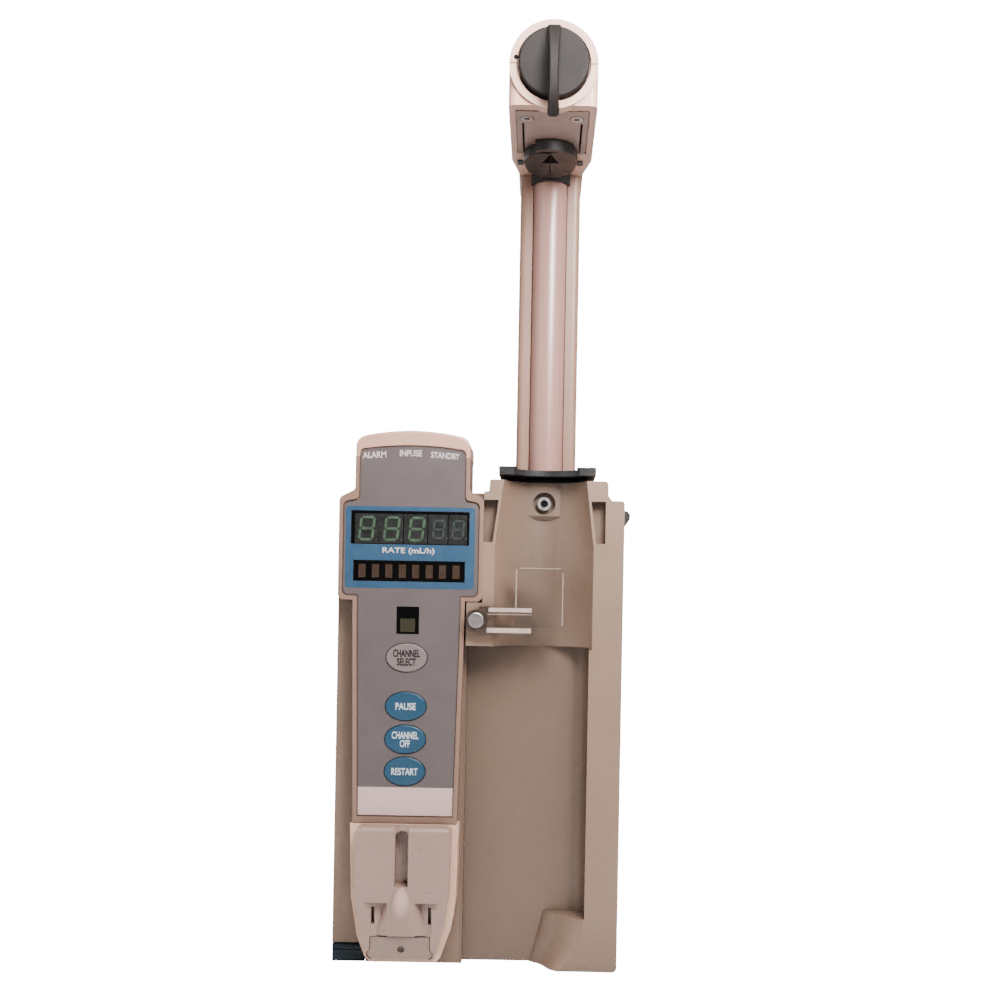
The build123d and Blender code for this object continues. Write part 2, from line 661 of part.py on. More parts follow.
# ---------------------------------------------------------------- side interfaces and latch
def release_latch():
    """Push latch at the lower left corner that frees the module from its neighbour."""
    body = block(-61.2, -47.4, LEFT_FRONT_Y - 1.6, -44.0, 0.35, 7.7)
    front = body.faces().sort_by(Axis.Y)[0]
    body = fillet(front.edges(), 1.0)
    body -= block(-63, -46, LEFT_FRONT_Y - 3, LEFT_FRONT_Y - 1.1, 5.3, 5.9)
    return body - along_y(-53.6, 4.0, 2.1, -46.0, -43.0)


def latch_spring():
    return along_y(-53.6, 4.0, 1.9, -45.8, -35.7)


HOOK_FRONT_Y = -42.0


def mounting_hook():
    """Black hook on the right side that the next module hangs from."""
    profile = [
        (57.6, 184.2),
        (60.0, 184.2),
        (60.2, 187.6),
        (61.4, 188.4),
        (64.3, 192.6),
        (64.5, 194.8),
        (63.3, 196.4),
        (60.0, 196.9),
        (57.6, 196.9),
    ]
    return from_front(outline(profile, [0, 0, 0, 0.8, 1.2, 1.0, 1.0, 0, 0]), HOOK_FRONT_Y, 8.0)


def hook_receiver():
    """Open channel on the left side that takes the neighbour's hook."""
    body = block(CASE_LEFT_X, -53.4, -44.0, 10.0, 183.0, 195.4)
    return body - block(-62.5, -55.0, -42.3, 8.3, 184.8, 194.0)


def connector_right():
    """Raised contact block on the right side, with a row of spring contacts."""
    face = RectangleRounded(30.0, 40.0, 2.0)
    body = from_side(Pos(0, 115.0) * face, 55.5, 61.6)
    return fillet(body.faces().sort_by(Axis.X)[-1].edges(), 0.8)


def connector_left():
    """Socket on the left side that takes the neighbour's contact block."""
    body = from_side(Pos(0, 115.0) * RectangleRounded(30.0, 40.0, 2.0), CASE_LEFT_X, -53.4)
    return body - from_side(Pos(0, 115.0) * RectangleRounded(26.0, 36.0, 1.5), -62.5, -55.4)


def contact_pins():
    """Metal contacts on both side connectors."""
    pins = []
    for row in range(8):
        z = 100.5 + row * 4.15
        pins.append(block(61.6, 62.2, -3.5, 3.5, z - 0.8, z + 0.8))
        pins.append(block(-56.0, -55.4, -3.5, 3.5, z - 0.8, z + 0.8))
    return Compound(children=pins)


# ---------------------------------------------------------------- drive
def gear(teeth, z0, z1, bore, turn=0.0):
    """A spur gear with straight-sided teeth, centred on the origin."""
    pitch = GEAR_MODULE * teeth / 2
    root = pitch - 1.25 * GEAR_MODULE
    tip = pitch + 0.9 * GEAR_MODULE
    body = Circle(root)
    tooth_points = [
        (root - 0.3, -1.05 * GEAR_MODULE),
        (pitch, -0.68 * GEAR_MODULE),
        (tip, -0.32 * GEAR_MODULE),
        (tip, 0.32 * GEAR_MODULE),
        (pitch, 0.68 * GEAR_MODULE),
        (root - 0.3, 1.05 * GEAR_MODULE),
    ]
    tooth = outline(tooth_points)
    for index in range(teeth):
        body += Rot(0, 0, turn + index * 360.0 / teeth) * tooth
    return from_above(body - Circle(bore), z0, z1)


def drive_gear():
    disc = Pos(COLUMN_X, SCREW_Y) * gear(GEAR_TEETH, GEAR_LOW_Z, GEAR_HIGH_Z, SCREW_RADIUS)
    for index in range(5):
        hole = Rot(0, 0, index * 72.0) * Pos(8.8, 0, 0) * Cylinder(2.0, 30)
        disc -= Pos(COLUMN_X, SCREW_Y, GEAR_LOW_Z) * hole
    return disc


PINION_Y = SCREW_Y + GEAR_CENTRES


def motor_pinion():
    half_pitch = 180.0 / PINION_TEETH
    teeth = Pos(COLUMN_X, PINION_Y) * gear(PINION_TEETH, GEAR_LOW_Z, GEAR_HIGH_Z, 1.5, half_pitch)
    return teeth + upright(COLUMN_X, PINION_Y, 1.5, GEAR_LOW_Z - 0.5, 19.0)


MOTOR_LOW_Z = 16.0
MOTOR_RADIUS = 13.5


def stepper_motor():
    body = upright(COLUMN_X, PINION_Y, MOTOR_RADIUS, MOTOR_LOW_Z, 33.5)
    body = fillet(body.edges().filter_by(GeomType.CIRCLE), 0.8)
    connector = block(COLUMN_X - 5, COLUMN_X + 5, PINION_Y + 12, PINION_Y + 17, 20, 26)
    return body + connector - upright(COLUMN_X, PINION_Y, 1.5 + GAP, MOTOR_LOW_Z - 1, 19.5)


def lead_screw():
    """Lead screw; its thread is left smooth."""
    return upright(COLUMN_X, SCREW_Y, SCREW_RADIUS, 4.5, 199.0)


BEARING_RADIUS = 7.4


def screw_bearings():
    rings = []
    for z in (13.0, 196.0):
        rings.append(sleeve_z(COLUMN_X, SCREW_Y, SCREW_RADIUS + FIT, BEARING_RADIUS, z, z + 3.0))
    return Compound(children=rings)


def guide_rods():
    rods = [upright(COLUMN_X + side * ROD_SPACING, SCREW_Y, ROD_RADIUS, 13.0, 199.0) for side in (-1, 1)]
    return Compound(children=rods)


def drive_frame():
    """Bent metal frame: two end plates and a web that carry the screw and the rods."""
    left = COLUMN_X - 20.4
    right = COLUMN_X + 20.4
    low = block(left, right, -2.0, 42.0, 13.0, 16.0)
    high = block(left, right, -2.0, 17.5, 196.0, 199.0)
    web = block(left, right, 15.5, 17.5, 13.0, 199.0)
    web -= block(left + 6, right - 6, 14.0, 19.0, 16.0, 60.0)
    web -= block(left + 10, right - 10, 14.0, 19.0, 80.0, 180.0)
    frame = low + high + web
    frame -= upright(COLUMN_X, SCREW_Y, BEARING_RADIUS, 12, 200)
    frame -= upright(COLUMN_X, PINION_Y, 6.0, 12, 17)
    for side in (-1, 1):
        frame -= upright(COLUMN_X + side * ROD_SPACING, SCREW_Y, ROD_RADIUS, 12, 200)
    for x in (left, right - 4.0):
        frame += block(x, x + 4.0, -2.0, 22.0, WALL, 13.0)
    return frame


# ---------------------------------------------------------------- column
def column_section(grow, z0, z1):
    """The column cover and the tube together, as one prism."""
    cover = Pos(COLUMN_X, (COLUMN_FRONT_Y + COLUMN_BACK_Y) / 2) * RectangleRounded(
        2 * (COLUMN_HALF + grow), COLUMN_BACK_Y - COLUMN_FRONT_Y + 2 * grow, 2.6
    )
    tube = Pos(COLUMN_X, TUBE_Y) * Circle(TUBE_RADIUS + grow)
    return from_above(cover + tube, z0, z1)


def column_cover():
    """Moulded cover behind the drive tube, grooved in front to hold it."""
    middle_y = (COLUMN_FRONT_Y + COLUMN_BACK_Y) / 2
    depth = COLUMN_BACK_Y - COLUMN_FRONT_Y
    face = Pos(COLUMN_X, middle_y) * RectangleRounded(2 * COLUMN_HALF, depth, 2.6)
    face -= Pos(COLUMN_X, TUBE_Y) * Circle(TUBE_RADIUS + 0.3)
    face -= Pos(COLUMN_X, -17.0) * RectangleRounded(2 * COLUMN_HALF - 4.4, 11.6, 1.0)
    return from_above(face, COLUMN_FOOT_Z, HEAD_Z + 4.2)


def drive_tube():
    """Metal tube that carries the head."""
    return sleeve_z(COLUMN_X, TUBE_Y, TUBE_RADIUS - 1.4, TUBE_RADIUS, COLUMN_FOOT_Z, 358.0)


def release_rod():
    """Rod inside the tube that carries the knob's turn down to the half nut."""
    return upright(COLUMN_X, TUBE_Y, 3.0, COLUMN_FOOT_Z + 1.0, 357.0)


def tube_collar():
    """Black collar round the front of the tube where it enters the head."""
    ring = sleeve_z(COLUMN_X, TUBE_Y, TUBE_RADIUS + 0.02, TUBE_RADIUS + 1.3, 343.0, HEAD_Z)
    return ring - block(10, 44, COLUMN_FRONT_Y - 0.05, 0, 330, 350)


def column_wiper():
    """Seal round the column on top of the cradle."""
    plate = Pos(COLUMN_X, -24.4) * RectangleRounded(33.0, 38.0, 3.0)
    body = from_above(plate, CRADLE_TOP_Z, CRADLE_TOP_Z + 1.6)
    return body - column_section(GAP, 200, 215)


def carriage():
    """Carriage at the foot of the column, running on the guide rods."""
    foot = block(12.9, 39.9, -41.0, 13.2, COLUMN_FOOT_Z - 5, COLUMN_FOOT_Z)
    slider = block(4.5, 48.3, -7.0, 13.2, COLUMN_FOOT_Z, COLUMN_FOOT_Z + 20)
    body = foot + slider
    body -= upright(COLUMN_X, SCREW_Y, SCREW_RADIUS + 1.0, 150, 180)
    body -= block(20.0, 32.8, -8.0, 8.0, COLUMN_FOOT_Z + 3.6, COLUMN_FOOT_Z + 16.4)
    for side in (-1, 1):
        body -= upright(COLUMN_X + side * ROD_SPACING, SCREW_Y, 4.6, 150, 180)
    return body


def guide_bushes():
    bushes = []
    for side in (-1, 1):
        x = COLUMN_X + side * ROD_SPACING
        for z in (COLUMN_FOOT_Z + 1, COLUMN_FOOT_Z + 13):
            bushes.append(sleeve_z(x, SCREW_Y, ROD_RADIUS + FIT, 4.6, z, z + 6))
    return Compound(children=bushes)


def half_nut():
    """Half nut that grips the lead screw until the knob is turned."""
    body = block(20.4, 32.4, -3.8, 7.8, COLUMN_FOOT_Z + 4, COLUMN_FOOT_Z + 16)
    return body - upright(COLUMN_X, SCREW_Y, SCREW_RADIUS + 0.12, 150, 180)


# ---------------------------------------------------------------- drive head
def head_plan(inset=0.0):
    """The head from above: long, straight-sided, narrowing to the column behind."""
    wide = HEAD_ARCH_R + 0.1 - inset
    neck = 14.4 - inset
    front = HEAD_FRONT_Y + inset
    back = HEAD_BACK_Y - inset
    points = [
        (KNOB_X - wide, front),
        (KNOB_X + wide, front),
        (KNOB_X + wide, -52.0),
        (COLUMN_X + neck, -36.0),
        (COLUMN_X + neck, back),
        (COLUMN_X - neck, back),
        (COLUMN_X - neck, -36.0),
        (KNOB_X - wide, -52.0),
    ]
    corner = 3.0 if inset == 0 else 1.5
    return outline(points, [corner, corner, 14, 8, 3 - inset, 3 - inset, 8, 14])


RING_FRONT_Y = HEAD_FRONT_Y - 1.0
KNOB_WALL_Y = -104.2
SEAM_GROOVE = 0.45


def knob_recess():
    """The round recess that the knob turns in, with the shaft's hole."""
    return along_y(KNOB_X, KNOB_Z, 14.5, -112, -106.4) + along_y(KNOB_X, KNOB_Z, 3.6, -112, -103)


def head_lower_case():
    body = from_above(head_plan(), HEAD_Z, SEAM_Z)
    body -= from_above(head_plan(2.0), HEAD_Z + 4.0, SEAM_Z + 1)
    ring = along_y(KNOB_X, KNOB_Z, HEAD_ARCH_R, RING_FRONT_Y, KNOB_WALL_Y)
    ring -= block(0, 60, -120, -100, SEAM_Z, 400)
    body += ring
    body -= knob_recess()
    body -= from_above(head_plan(), SEAM_Z - SEAM_GROOVE, SEAM_Z) - from_above(head_plan(0.6), 350, 370)
    body -= block(0, 60, RING_FRONT_Y - 1, RING_FRONT_Y + 0.6, SEAM_Z - SEAM_GROOVE, SEAM_Z)
    body -= column_section(0.05, HEAD_Z - 1, HEAD_Z + 4.5)
    body -= from_above(plate_face(1.2, 0.8), HEAD_Z + 0.9, HEAD_Z + 4.5)
    body -= block(11.8, 41.2, -103.2, -60.0, HEAD_Z - 1, HEAD_Z + 1.0)
    for x in (16.3, 36.2):
        body -= upright(x, -96.0, 1.3, HEAD_Z - 1, HEAD_Z + 5)
    for side in (-1, 1):
        body -= upright(GRIPPER_X + side * FINGER_PIVOT_OFFSET, FINGER_PIVOT_Y, 1.5, HEAD_Z - 1, HEAD_Z + 5)
    return body


def head_arch(inset=0.0):
    """Upper half of the head from the front: straight sides under a half round."""
    radius = HEAD_ARCH_R - inset
    arch = ThreePointArc((KNOB_X - radius, KNOB_Z), (KNOB_X, KNOB_Z + radius), (KNOB_X + radius, KNOB_Z))
    base_z = SEAM_Z - 4
    right = KNOB_X + radius
    left = KNOB_X - radius
    base = Polyline((right, KNOB_Z), (right, base_z), (left, base_z), (left, KNOB_Z))
    return make_face(arch.edges() + base.edges())


def head_upper_case():
    body = from_front(head_arch(), RING_FRONT_Y, HEAD_BACK_Y)
    plan = from_above(head_plan(), SEAM_Z, 390) + block(9.3, 43.9, RING_FRONT_Y, -104, SEAM_Z, 390)
    body = body & plan
    inside = from_front(head_arch(2.0), KNOB_WALL_Y, HEAD_BACK_Y - 2.0)
    inside = inside & from_above(head_plan(2.0), SEAM_Z - 1, 390)
    return body - inside - knob_recess()


KNOB_BACK_Y = -106.7
KNOB_FACE_Y = -111.4


def fin_front():
    """The fin from the front: waisted, with a rounded lower end."""
    right = Spline(
        (KNOB_X + 2.6, 377.0),
        (KNOB_X + 2.1, 366.0),
        (KNOB_X + 1.9, 356.0),
        (KNOB_X + 2.2, 343.4),
    )
    left = Spline(
        (KNOB_X - 2.2, 343.4),
        (KNOB_X - 1.9, 356.0),
        (KNOB_X - 2.1, 366.0),
        (KNOB_X - 2.6, 377.0),
    )
    end = ThreePointArc((KNOB_X + 2.2, 343.4), (KNOB_X, 340.4), (KNOB_X - 2.2, 343.4))
    return make_face([right, end, left, Line((KNOB_X - 2.6, 377.0), (KNOB_X + 2.6, 377.0))])


def gripper_knob():
    """Round knob with a tall fin that overhangs the head's lower edge."""
    disc = along_y(KNOB_X, KNOB_Z, 13.7, KNOB_FACE_Y, KNOB_BACK_Y)
    disc = fillet(disc.faces().sort_by(Axis.Y)[0].edges(), 0.8)
    profile = make_face(
        [
            Line((KNOB_FACE_Y + 1, 376.8), (KNOB_FACE_Y - 1.6, 376.8)),
            Spline(
                (KNOB_FACE_Y - 1.6, 376.8),
                (-117.6, 368.0),
                (-120.5, 355.5),
                (-119.2, 346.5),
                (-115.0, 340.6),
            ),
            Line((-115.0, 340.6), (KNOB_FACE_Y + 0.6, 345.5)),
            Line((KNOB_FACE_Y + 0.6, 345.5), (KNOB_FACE_Y + 1, 376.8)),
        ]
    )
    fin = from_side(profile, KNOB_X - 4, KNOB_X + 4) & from_front(fin_front(), -125, -100)
    ridges = fin.edges().filter_by(lambda e: e.center().Y < -113.5 and e.length > 20)
    return disc + chamfer(ridges, 0.55)


def knob_shaft():
    """Knob shaft with the cam that opens the fingers and turns the release rod."""
    shaft = along_y(KNOB_X, KNOB_Z, 3.5, KNOB_BACK_Y, -62.0)
    cam = along_y(KNOB_X, KNOB_Z, 5.8, -76.0, -70.0)
    return shaft + cam


def plate_face(side_gap=0.0, front_gap=0.0):
    """Outline of the plunger plate, stepped forward between the two screws."""
    points = [
        (15.1 - side_gap, -61.0 + side_gap),
        (15.1 - side_gap, -91.5 - front_gap),
        (19.2, -91.5 - front_gap),
        (20.9, -95.2 - front_gap),
        (32.2, -95.2 - front_gap),
        (33.9, -91.5 - front_gap),
        (37.9 + side_gap, -91.5 - front_gap),
        (37.9 + side_gap, -61.0 + side_gap),
    ]
    return outline(points)


HEAD_SCREW_Y = -96.0
HEAD_SCREWS_X = (16.3, 36.2)


def plunger_plate_frame():
    """Frame screwed under the head, open in the middle for the plunger plate."""
    panel = Pos(COLUMN_X, -81.6) * RectangleRounded(28.6, 42.6, 1.0)
    body = from_above(panel, HEAD_Z - 0.4, HEAD_Z + 0.85)
    body -= from_above(plate_face(0.8, 0.3), HEAD_Z - 2, HEAD_Z + 2)
    for x in HEAD_SCREWS_X:
        body -= upright(x, HEAD_SCREW_Y, 2.9, HEAD_Z - 1, HEAD_Z + 0.4)
        body -= upright(x, HEAD_SCREW_Y, 1.3, HEAD_Z - 1, HEAD_Z + 2)
    return body


def head_screws():
    screws = []
    for x in HEAD_SCREWS_X:
        head = upright(x, HEAD_SCREW_Y, 2.6, HEAD_Z - 0.5, HEAD_Z + 0.4)
        head -= upright(x, HEAD_SCREW_Y, 1.2, HEAD_Z - 2, HEAD_Z + 0.25)
        screws.append(head + upright(x, HEAD_SCREW_Y, 1.25, HEAD_Z + 0.4, HEAD_Z + 8))
    return Compound(children=screws)


def plunger_plate():
    """Plate that pushes on the plunger and passes its force to the load cell."""
    plate = from_above(plate_face(), HEAD_Z - 0.3, HEAD_Z + 1.6)
    return plate + block(20.5, 32.5, -86.0, -66.0, HEAD_Z + 1.6, HEAD_Z + 5.4)


def load_cell():
    """Bending-beam load cell above the plunger plate."""
    beam = block(20.6, 32.4, -89.0, -63.0, HEAD_Z + 6.4, HEAD_Z + 9.4)
    beam -= block(23.0, 30.0, -90.0, -62.0, HEAD_Z + 7.4, HEAD_Z + 8.4)
    return beam


def gripper_hub():
    """Black block behind the fingers, with the two pins that they turn on."""
    body = block(21.0, 31.0, -50.4, -43.9, FINGER_LOW_Z + 0.4, HEAD_Z)
    pins = []
    for side in (-1, 1):
        x = GRIPPER_X + side * FINGER_PIVOT_OFFSET
        body -= upright(x, FINGER_PIVOT_Y, 7.2, 340, HEAD_Z + 1)
        pins.append(upright(x, FINGER_PIVOT_Y, 1.45, FINGER_LOW_Z + 0.1, HEAD_Z + 7))
        pad_x = GRIPPER_X + side * 13.0
        pins.append(block(pad_x - 1.3, pad_x + 1.3, -52.2, -47.8, HEAD_Z - 0.6, HEAD_Z))
    return Compound(children=[body] + pins)


def finger_limits():
    """The eight-sided outline that both fingers together keep to."""
    points = [
        (21.5, -46.8),
        (30.6, -46.8),
        (35.2, -49.9),
        (36.5, -55.8),
        (37.5, -63.0),
        (37.5, -68.5),
        (36.2, -72.0),
        (32.0, -78.0),
        (14.0, -78.0),
        (14.6, -63.0),
        (15.6, -55.8),
        (16.9, -49.9),
    ]
    return outline(points)


def finger_left():
    """Left gripper finger: closed, it meets the right one on the centre line."""
    pivot_x = GRIPPER_X - FINGER_PIVOT_OFFSET
    plan = outline(
        [
            (12.9, -57.5),
            (14.7, -64.5),
            (17.4, -70.2),
            (22.0, -72.6),
            (25.85, -72.2),
            (25.85, -71.4),
            (22.2, -61.8),
            (25.85, -61.8),
            (25.85, -54.0),
            (19.0, -52.0),
        ],
        [2.5, 3, 3, 3, 0, 0, 0, 0, 0, 0],
    )
    face = (plan + Pos(pivot_x, FINGER_PIVOT_Y) * Circle(6.9)) & finger_limits()
    face -= Pos(pivot_x, FINGER_PIVOT_Y) * Circle(1.5)
    return from_above(face, FINGER_LOW_Z, FINGER_HIGH_Z)


def finger_right():
    """Right gripper finger, whose band reaches round in front of the left one."""
    pivot_x = GRIPPER_X + FINGER_PIVOT_OFFSET
    palm = outline(
        [
            (39.1, -57.5),
            (37.4, -64.5),
            (35.4, -70.6),
            (30.0, -73.4),
            (26.15, -73.0),
            (26.15, -71.4),
            (29.8, -61.8),
            (26.15, -61.8),
            (26.15, -54.0),
            (33.0, -52.0),
        ],
        [2.5, 3, 3, 3, 0, 0, 0, 0, 0, 0],
    )
    inner = ThreePointArc((19.6, -72.95), (27.0, -74.1), (33.0, -71.6))
    outer = ThreePointArc((36.4, -69.0), (28.4, -76.6), (19.6, -75.4))
    root_edge = Line((33.0, -71.6), (36.4, -69.0))
    end_edge = Line((19.6, -75.4), (19.6, -72.95))
    band = make_face([inner, root_edge, outer, end_edge])
    face = (palm + band + Pos(pivot_x, FINGER_PIVOT_Y) * Circle(6.9)) & finger_limits()
    face -= Pos(pivot_x, FINGER_PIVOT_Y) * Circle(1.5)
    return from_above(face, FINGER_LOW_Z, FINGER_HIGH_Z)


# ---------------------------------------------------------------- the whole part
NODES = {
    "front_case": front_case,
    "rear_case": rear_case,
    "rear_label": rear_label,
    "case_screws": case_screws,
    "display_bezel": display_bezel,
    "alarm_dome": alarm_dome,
    "front_label": front_label,
    "rate_window": lambda: window_pane(RATE_WINDOW),
    "message_window": lambda: window_pane(MESSAGE_WINDOW),
    "channel_window": lambda: window_pane(CHANNEL_WINDOW),
    "display_modules": display_modules,
    "alarm_lamps": alarm_lamps,
    "display_board": display_board,
    "main_board": main_board,
    "transducer_surround": transducer_surround,
    "pressure_disc_holder": pressure_disc_holder,
    "disc_release_tab": disc_release_tab,
    "pressure_sensor": pressure_sensor,
    "clamp_shaft": clamp_shaft,
    "clamp_spring": clamp_spring,
    "barrel_clamp": barrel_clamp,
    "flange_gripper": flange_gripper,
    "gripper_springs": gripper_springs,
    "release_latch": release_latch,
    "latch_spring": latch_spring,
    "mounting_hook": mounting_hook,
    "hook_receiver": hook_receiver,
    "connector_right": connector_right,
    "connector_left": connector_left,
    "contact_pins": contact_pins,
    "drive_frame": drive_frame,
    "stepper_motor": stepper_motor,
    "motor_pinion": motor_pinion,
    "drive_gear": drive_gear,
    "lead_screw": lead_screw,
    "screw_bearings": screw_bearings,
    "guide_rods": guide_rods,
    "carriage": carriage,
    "guide_bushes": guide_bushes,
    "half_nut": half_nut,
    "column_cover": column_cover,
    "drive_tube": drive_tube,
    "release_rod": release_rod,
    "tube_collar": tube_collar,
    "column_wiper": column_wiper,
    "head_lower_case": head_lower_case,
    "head_upper_case": head_upper_case,
    "gripper_knob": gripper_knob,
    "knob_shaft": knob_shaft,
    "plunger_plate_frame": plunger_plate_frame,
    "head_screws": head_screws,
    "plunger_plate": plunger_plate,
    "load_cell": load_cell,
    "gripper_hub": gripper_hub,
    "finger_left": finger_left,
    "finger_right": finger_right,
}

os.makedirs("parts", exist_ok=True)
for name, make in NODES.items():
    export_step(make(), f"parts/{name}.step")
for name, height in KEY_HEIGHTS.items():
    export_step(key(height), f"parts/{name}.step")
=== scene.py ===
import math

import bpy
from mathutils import Matrix, Vector


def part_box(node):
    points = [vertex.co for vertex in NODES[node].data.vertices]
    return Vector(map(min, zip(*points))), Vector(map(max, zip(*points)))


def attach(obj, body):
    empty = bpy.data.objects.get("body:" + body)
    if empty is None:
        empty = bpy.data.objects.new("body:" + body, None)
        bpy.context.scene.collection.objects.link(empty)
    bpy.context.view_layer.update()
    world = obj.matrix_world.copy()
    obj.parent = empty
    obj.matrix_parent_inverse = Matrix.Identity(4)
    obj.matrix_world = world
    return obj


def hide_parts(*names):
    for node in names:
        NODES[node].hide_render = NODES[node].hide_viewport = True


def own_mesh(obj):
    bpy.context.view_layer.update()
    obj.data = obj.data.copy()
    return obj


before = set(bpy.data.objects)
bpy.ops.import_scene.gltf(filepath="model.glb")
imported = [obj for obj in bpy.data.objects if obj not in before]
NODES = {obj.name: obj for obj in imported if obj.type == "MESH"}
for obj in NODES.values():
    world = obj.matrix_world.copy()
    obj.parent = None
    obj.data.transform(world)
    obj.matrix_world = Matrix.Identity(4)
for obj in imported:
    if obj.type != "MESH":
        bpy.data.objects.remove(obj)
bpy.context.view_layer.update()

MM = 0.001
SKIN = 0.04 * MM           # thickness of printed graphics


# ------------------------------------------------------------------ camera, floor and lights
CAMERA_PLACE = (0.025, -0.5537, 0.1562)
LENS = 41.4
LEAN = math.radians(1.05)
SKY_LIGHT = 0.31           # strength of the white surround as a source of light
SKY_SEEN = 18.0            # and as the camera sees it, which is pure white
FLOOR_SEEN = 16.5
LAMPS = (
    # name, place, aimed at, size, watts, colour
    ("near", (0.07, -0.33, 0.60), (0.026, -0.07, 0.30), (0.26, 0.16), 4.0, (1.0, 0.985, 0.97)),
    ("head", (0.13, -0.31, 0.40), (0.026, -0.07, 0.33), (0.12, 0.12), 3.2, (1.0, 0.97, 0.95)),
    ("key", (0.75, -1.0, 1.1), (0.0, 0.0, 0.15), (0.7, 0.7), 8.0, (1.0, 0.98, 0.96)),
    ("fill", (-1.0, -0.9, 0.5), (0.0, 0.0, 0.15), (0.9, 0.9), 4.2, (0.97, 0.98, 1.0)),
    ("rear", (-0.6, 1.1, 0.9), (0.0, 0.0, 0.2), (0.9, 0.9), 9.0, (1.0, 1.0, 1.0)),
)


def make_camera():
    data = bpy.data.cameras.new("view")
    data.lens = LENS
    data.sensor_width = 36.0
    data.shift_x = -0.04
    data.shift_y = 0.10
    data.clip_start = 0.01
    camera = bpy.data.objects.new("view", data)
    turn = Matrix.Rotation(math.radians(90), 4, "X") @ Matrix.Rotation(LEAN, 4, "Z")
    camera.matrix_world = Matrix.Translation(CAMERA_PLACE) @ turn
    bpy.context.scene.collection.objects.link(camera)
    bpy.context.scene.camera = camera


def area_light(name, place, target, size, watts, color):
    data = bpy.data.lights.new(name, "AREA")
    data.shape = "RECTANGLE"
    data.size, data.size_y = size
    data.energy = watts
    data.color = color
    light = bpy.data.objects.new(name, data)
    aim = Vector(target) - Vector(place)
    light.rotation_euler = aim.to_track_quat("-Z", "Y").to_euler()
    light.location = place
    light.visible_camera = False
    bpy.context.scene.collection.objects.link(light)


def make_studio():
    """A white surround, dim as a light source, two near lamps at the head and three softer ones far off."""
    world = bpy.data.worlds.new("studio")
    world.use_nodes = True
    tree = world.node_tree
    sky = tree.nodes["Background"]
    sky.inputs["Color"].default_value = (1.0, 0.99, 0.98, 1)
    seen = tree.nodes.new("ShaderNodeLightPath").outputs["Is Camera Ray"]
    level = tree.nodes.new("ShaderNodeMapRange")
    level.inputs["To Min"].default_value = SKY_LIGHT
    level.inputs["To Max"].default_value = SKY_SEEN
    tree.links.new(seen, level.inputs["Value"])
    tree.links.new(level.outputs["Result"], sky.inputs["Strength"])
    bpy.context.scene.world = world
    for lamp in LAMPS:
        area_light(*lamp)


def make_floor():
    """A white paper floor, which belongs to the studio and not to the part."""
    half = 6.0
    mesh = bpy.data.meshes.new("floor")
    corners = [(-half, -half, 0), (half, -half, 0), (half, half, 0), (-half, half, 0)]
    mesh.from_pydata(corners, [], [(0, 1, 2, 3)])
    floor = bpy.data.objects.new("floor", mesh)
    bpy.context.scene.collection.objects.link(floor)
    mesh.materials.append(make_paper())


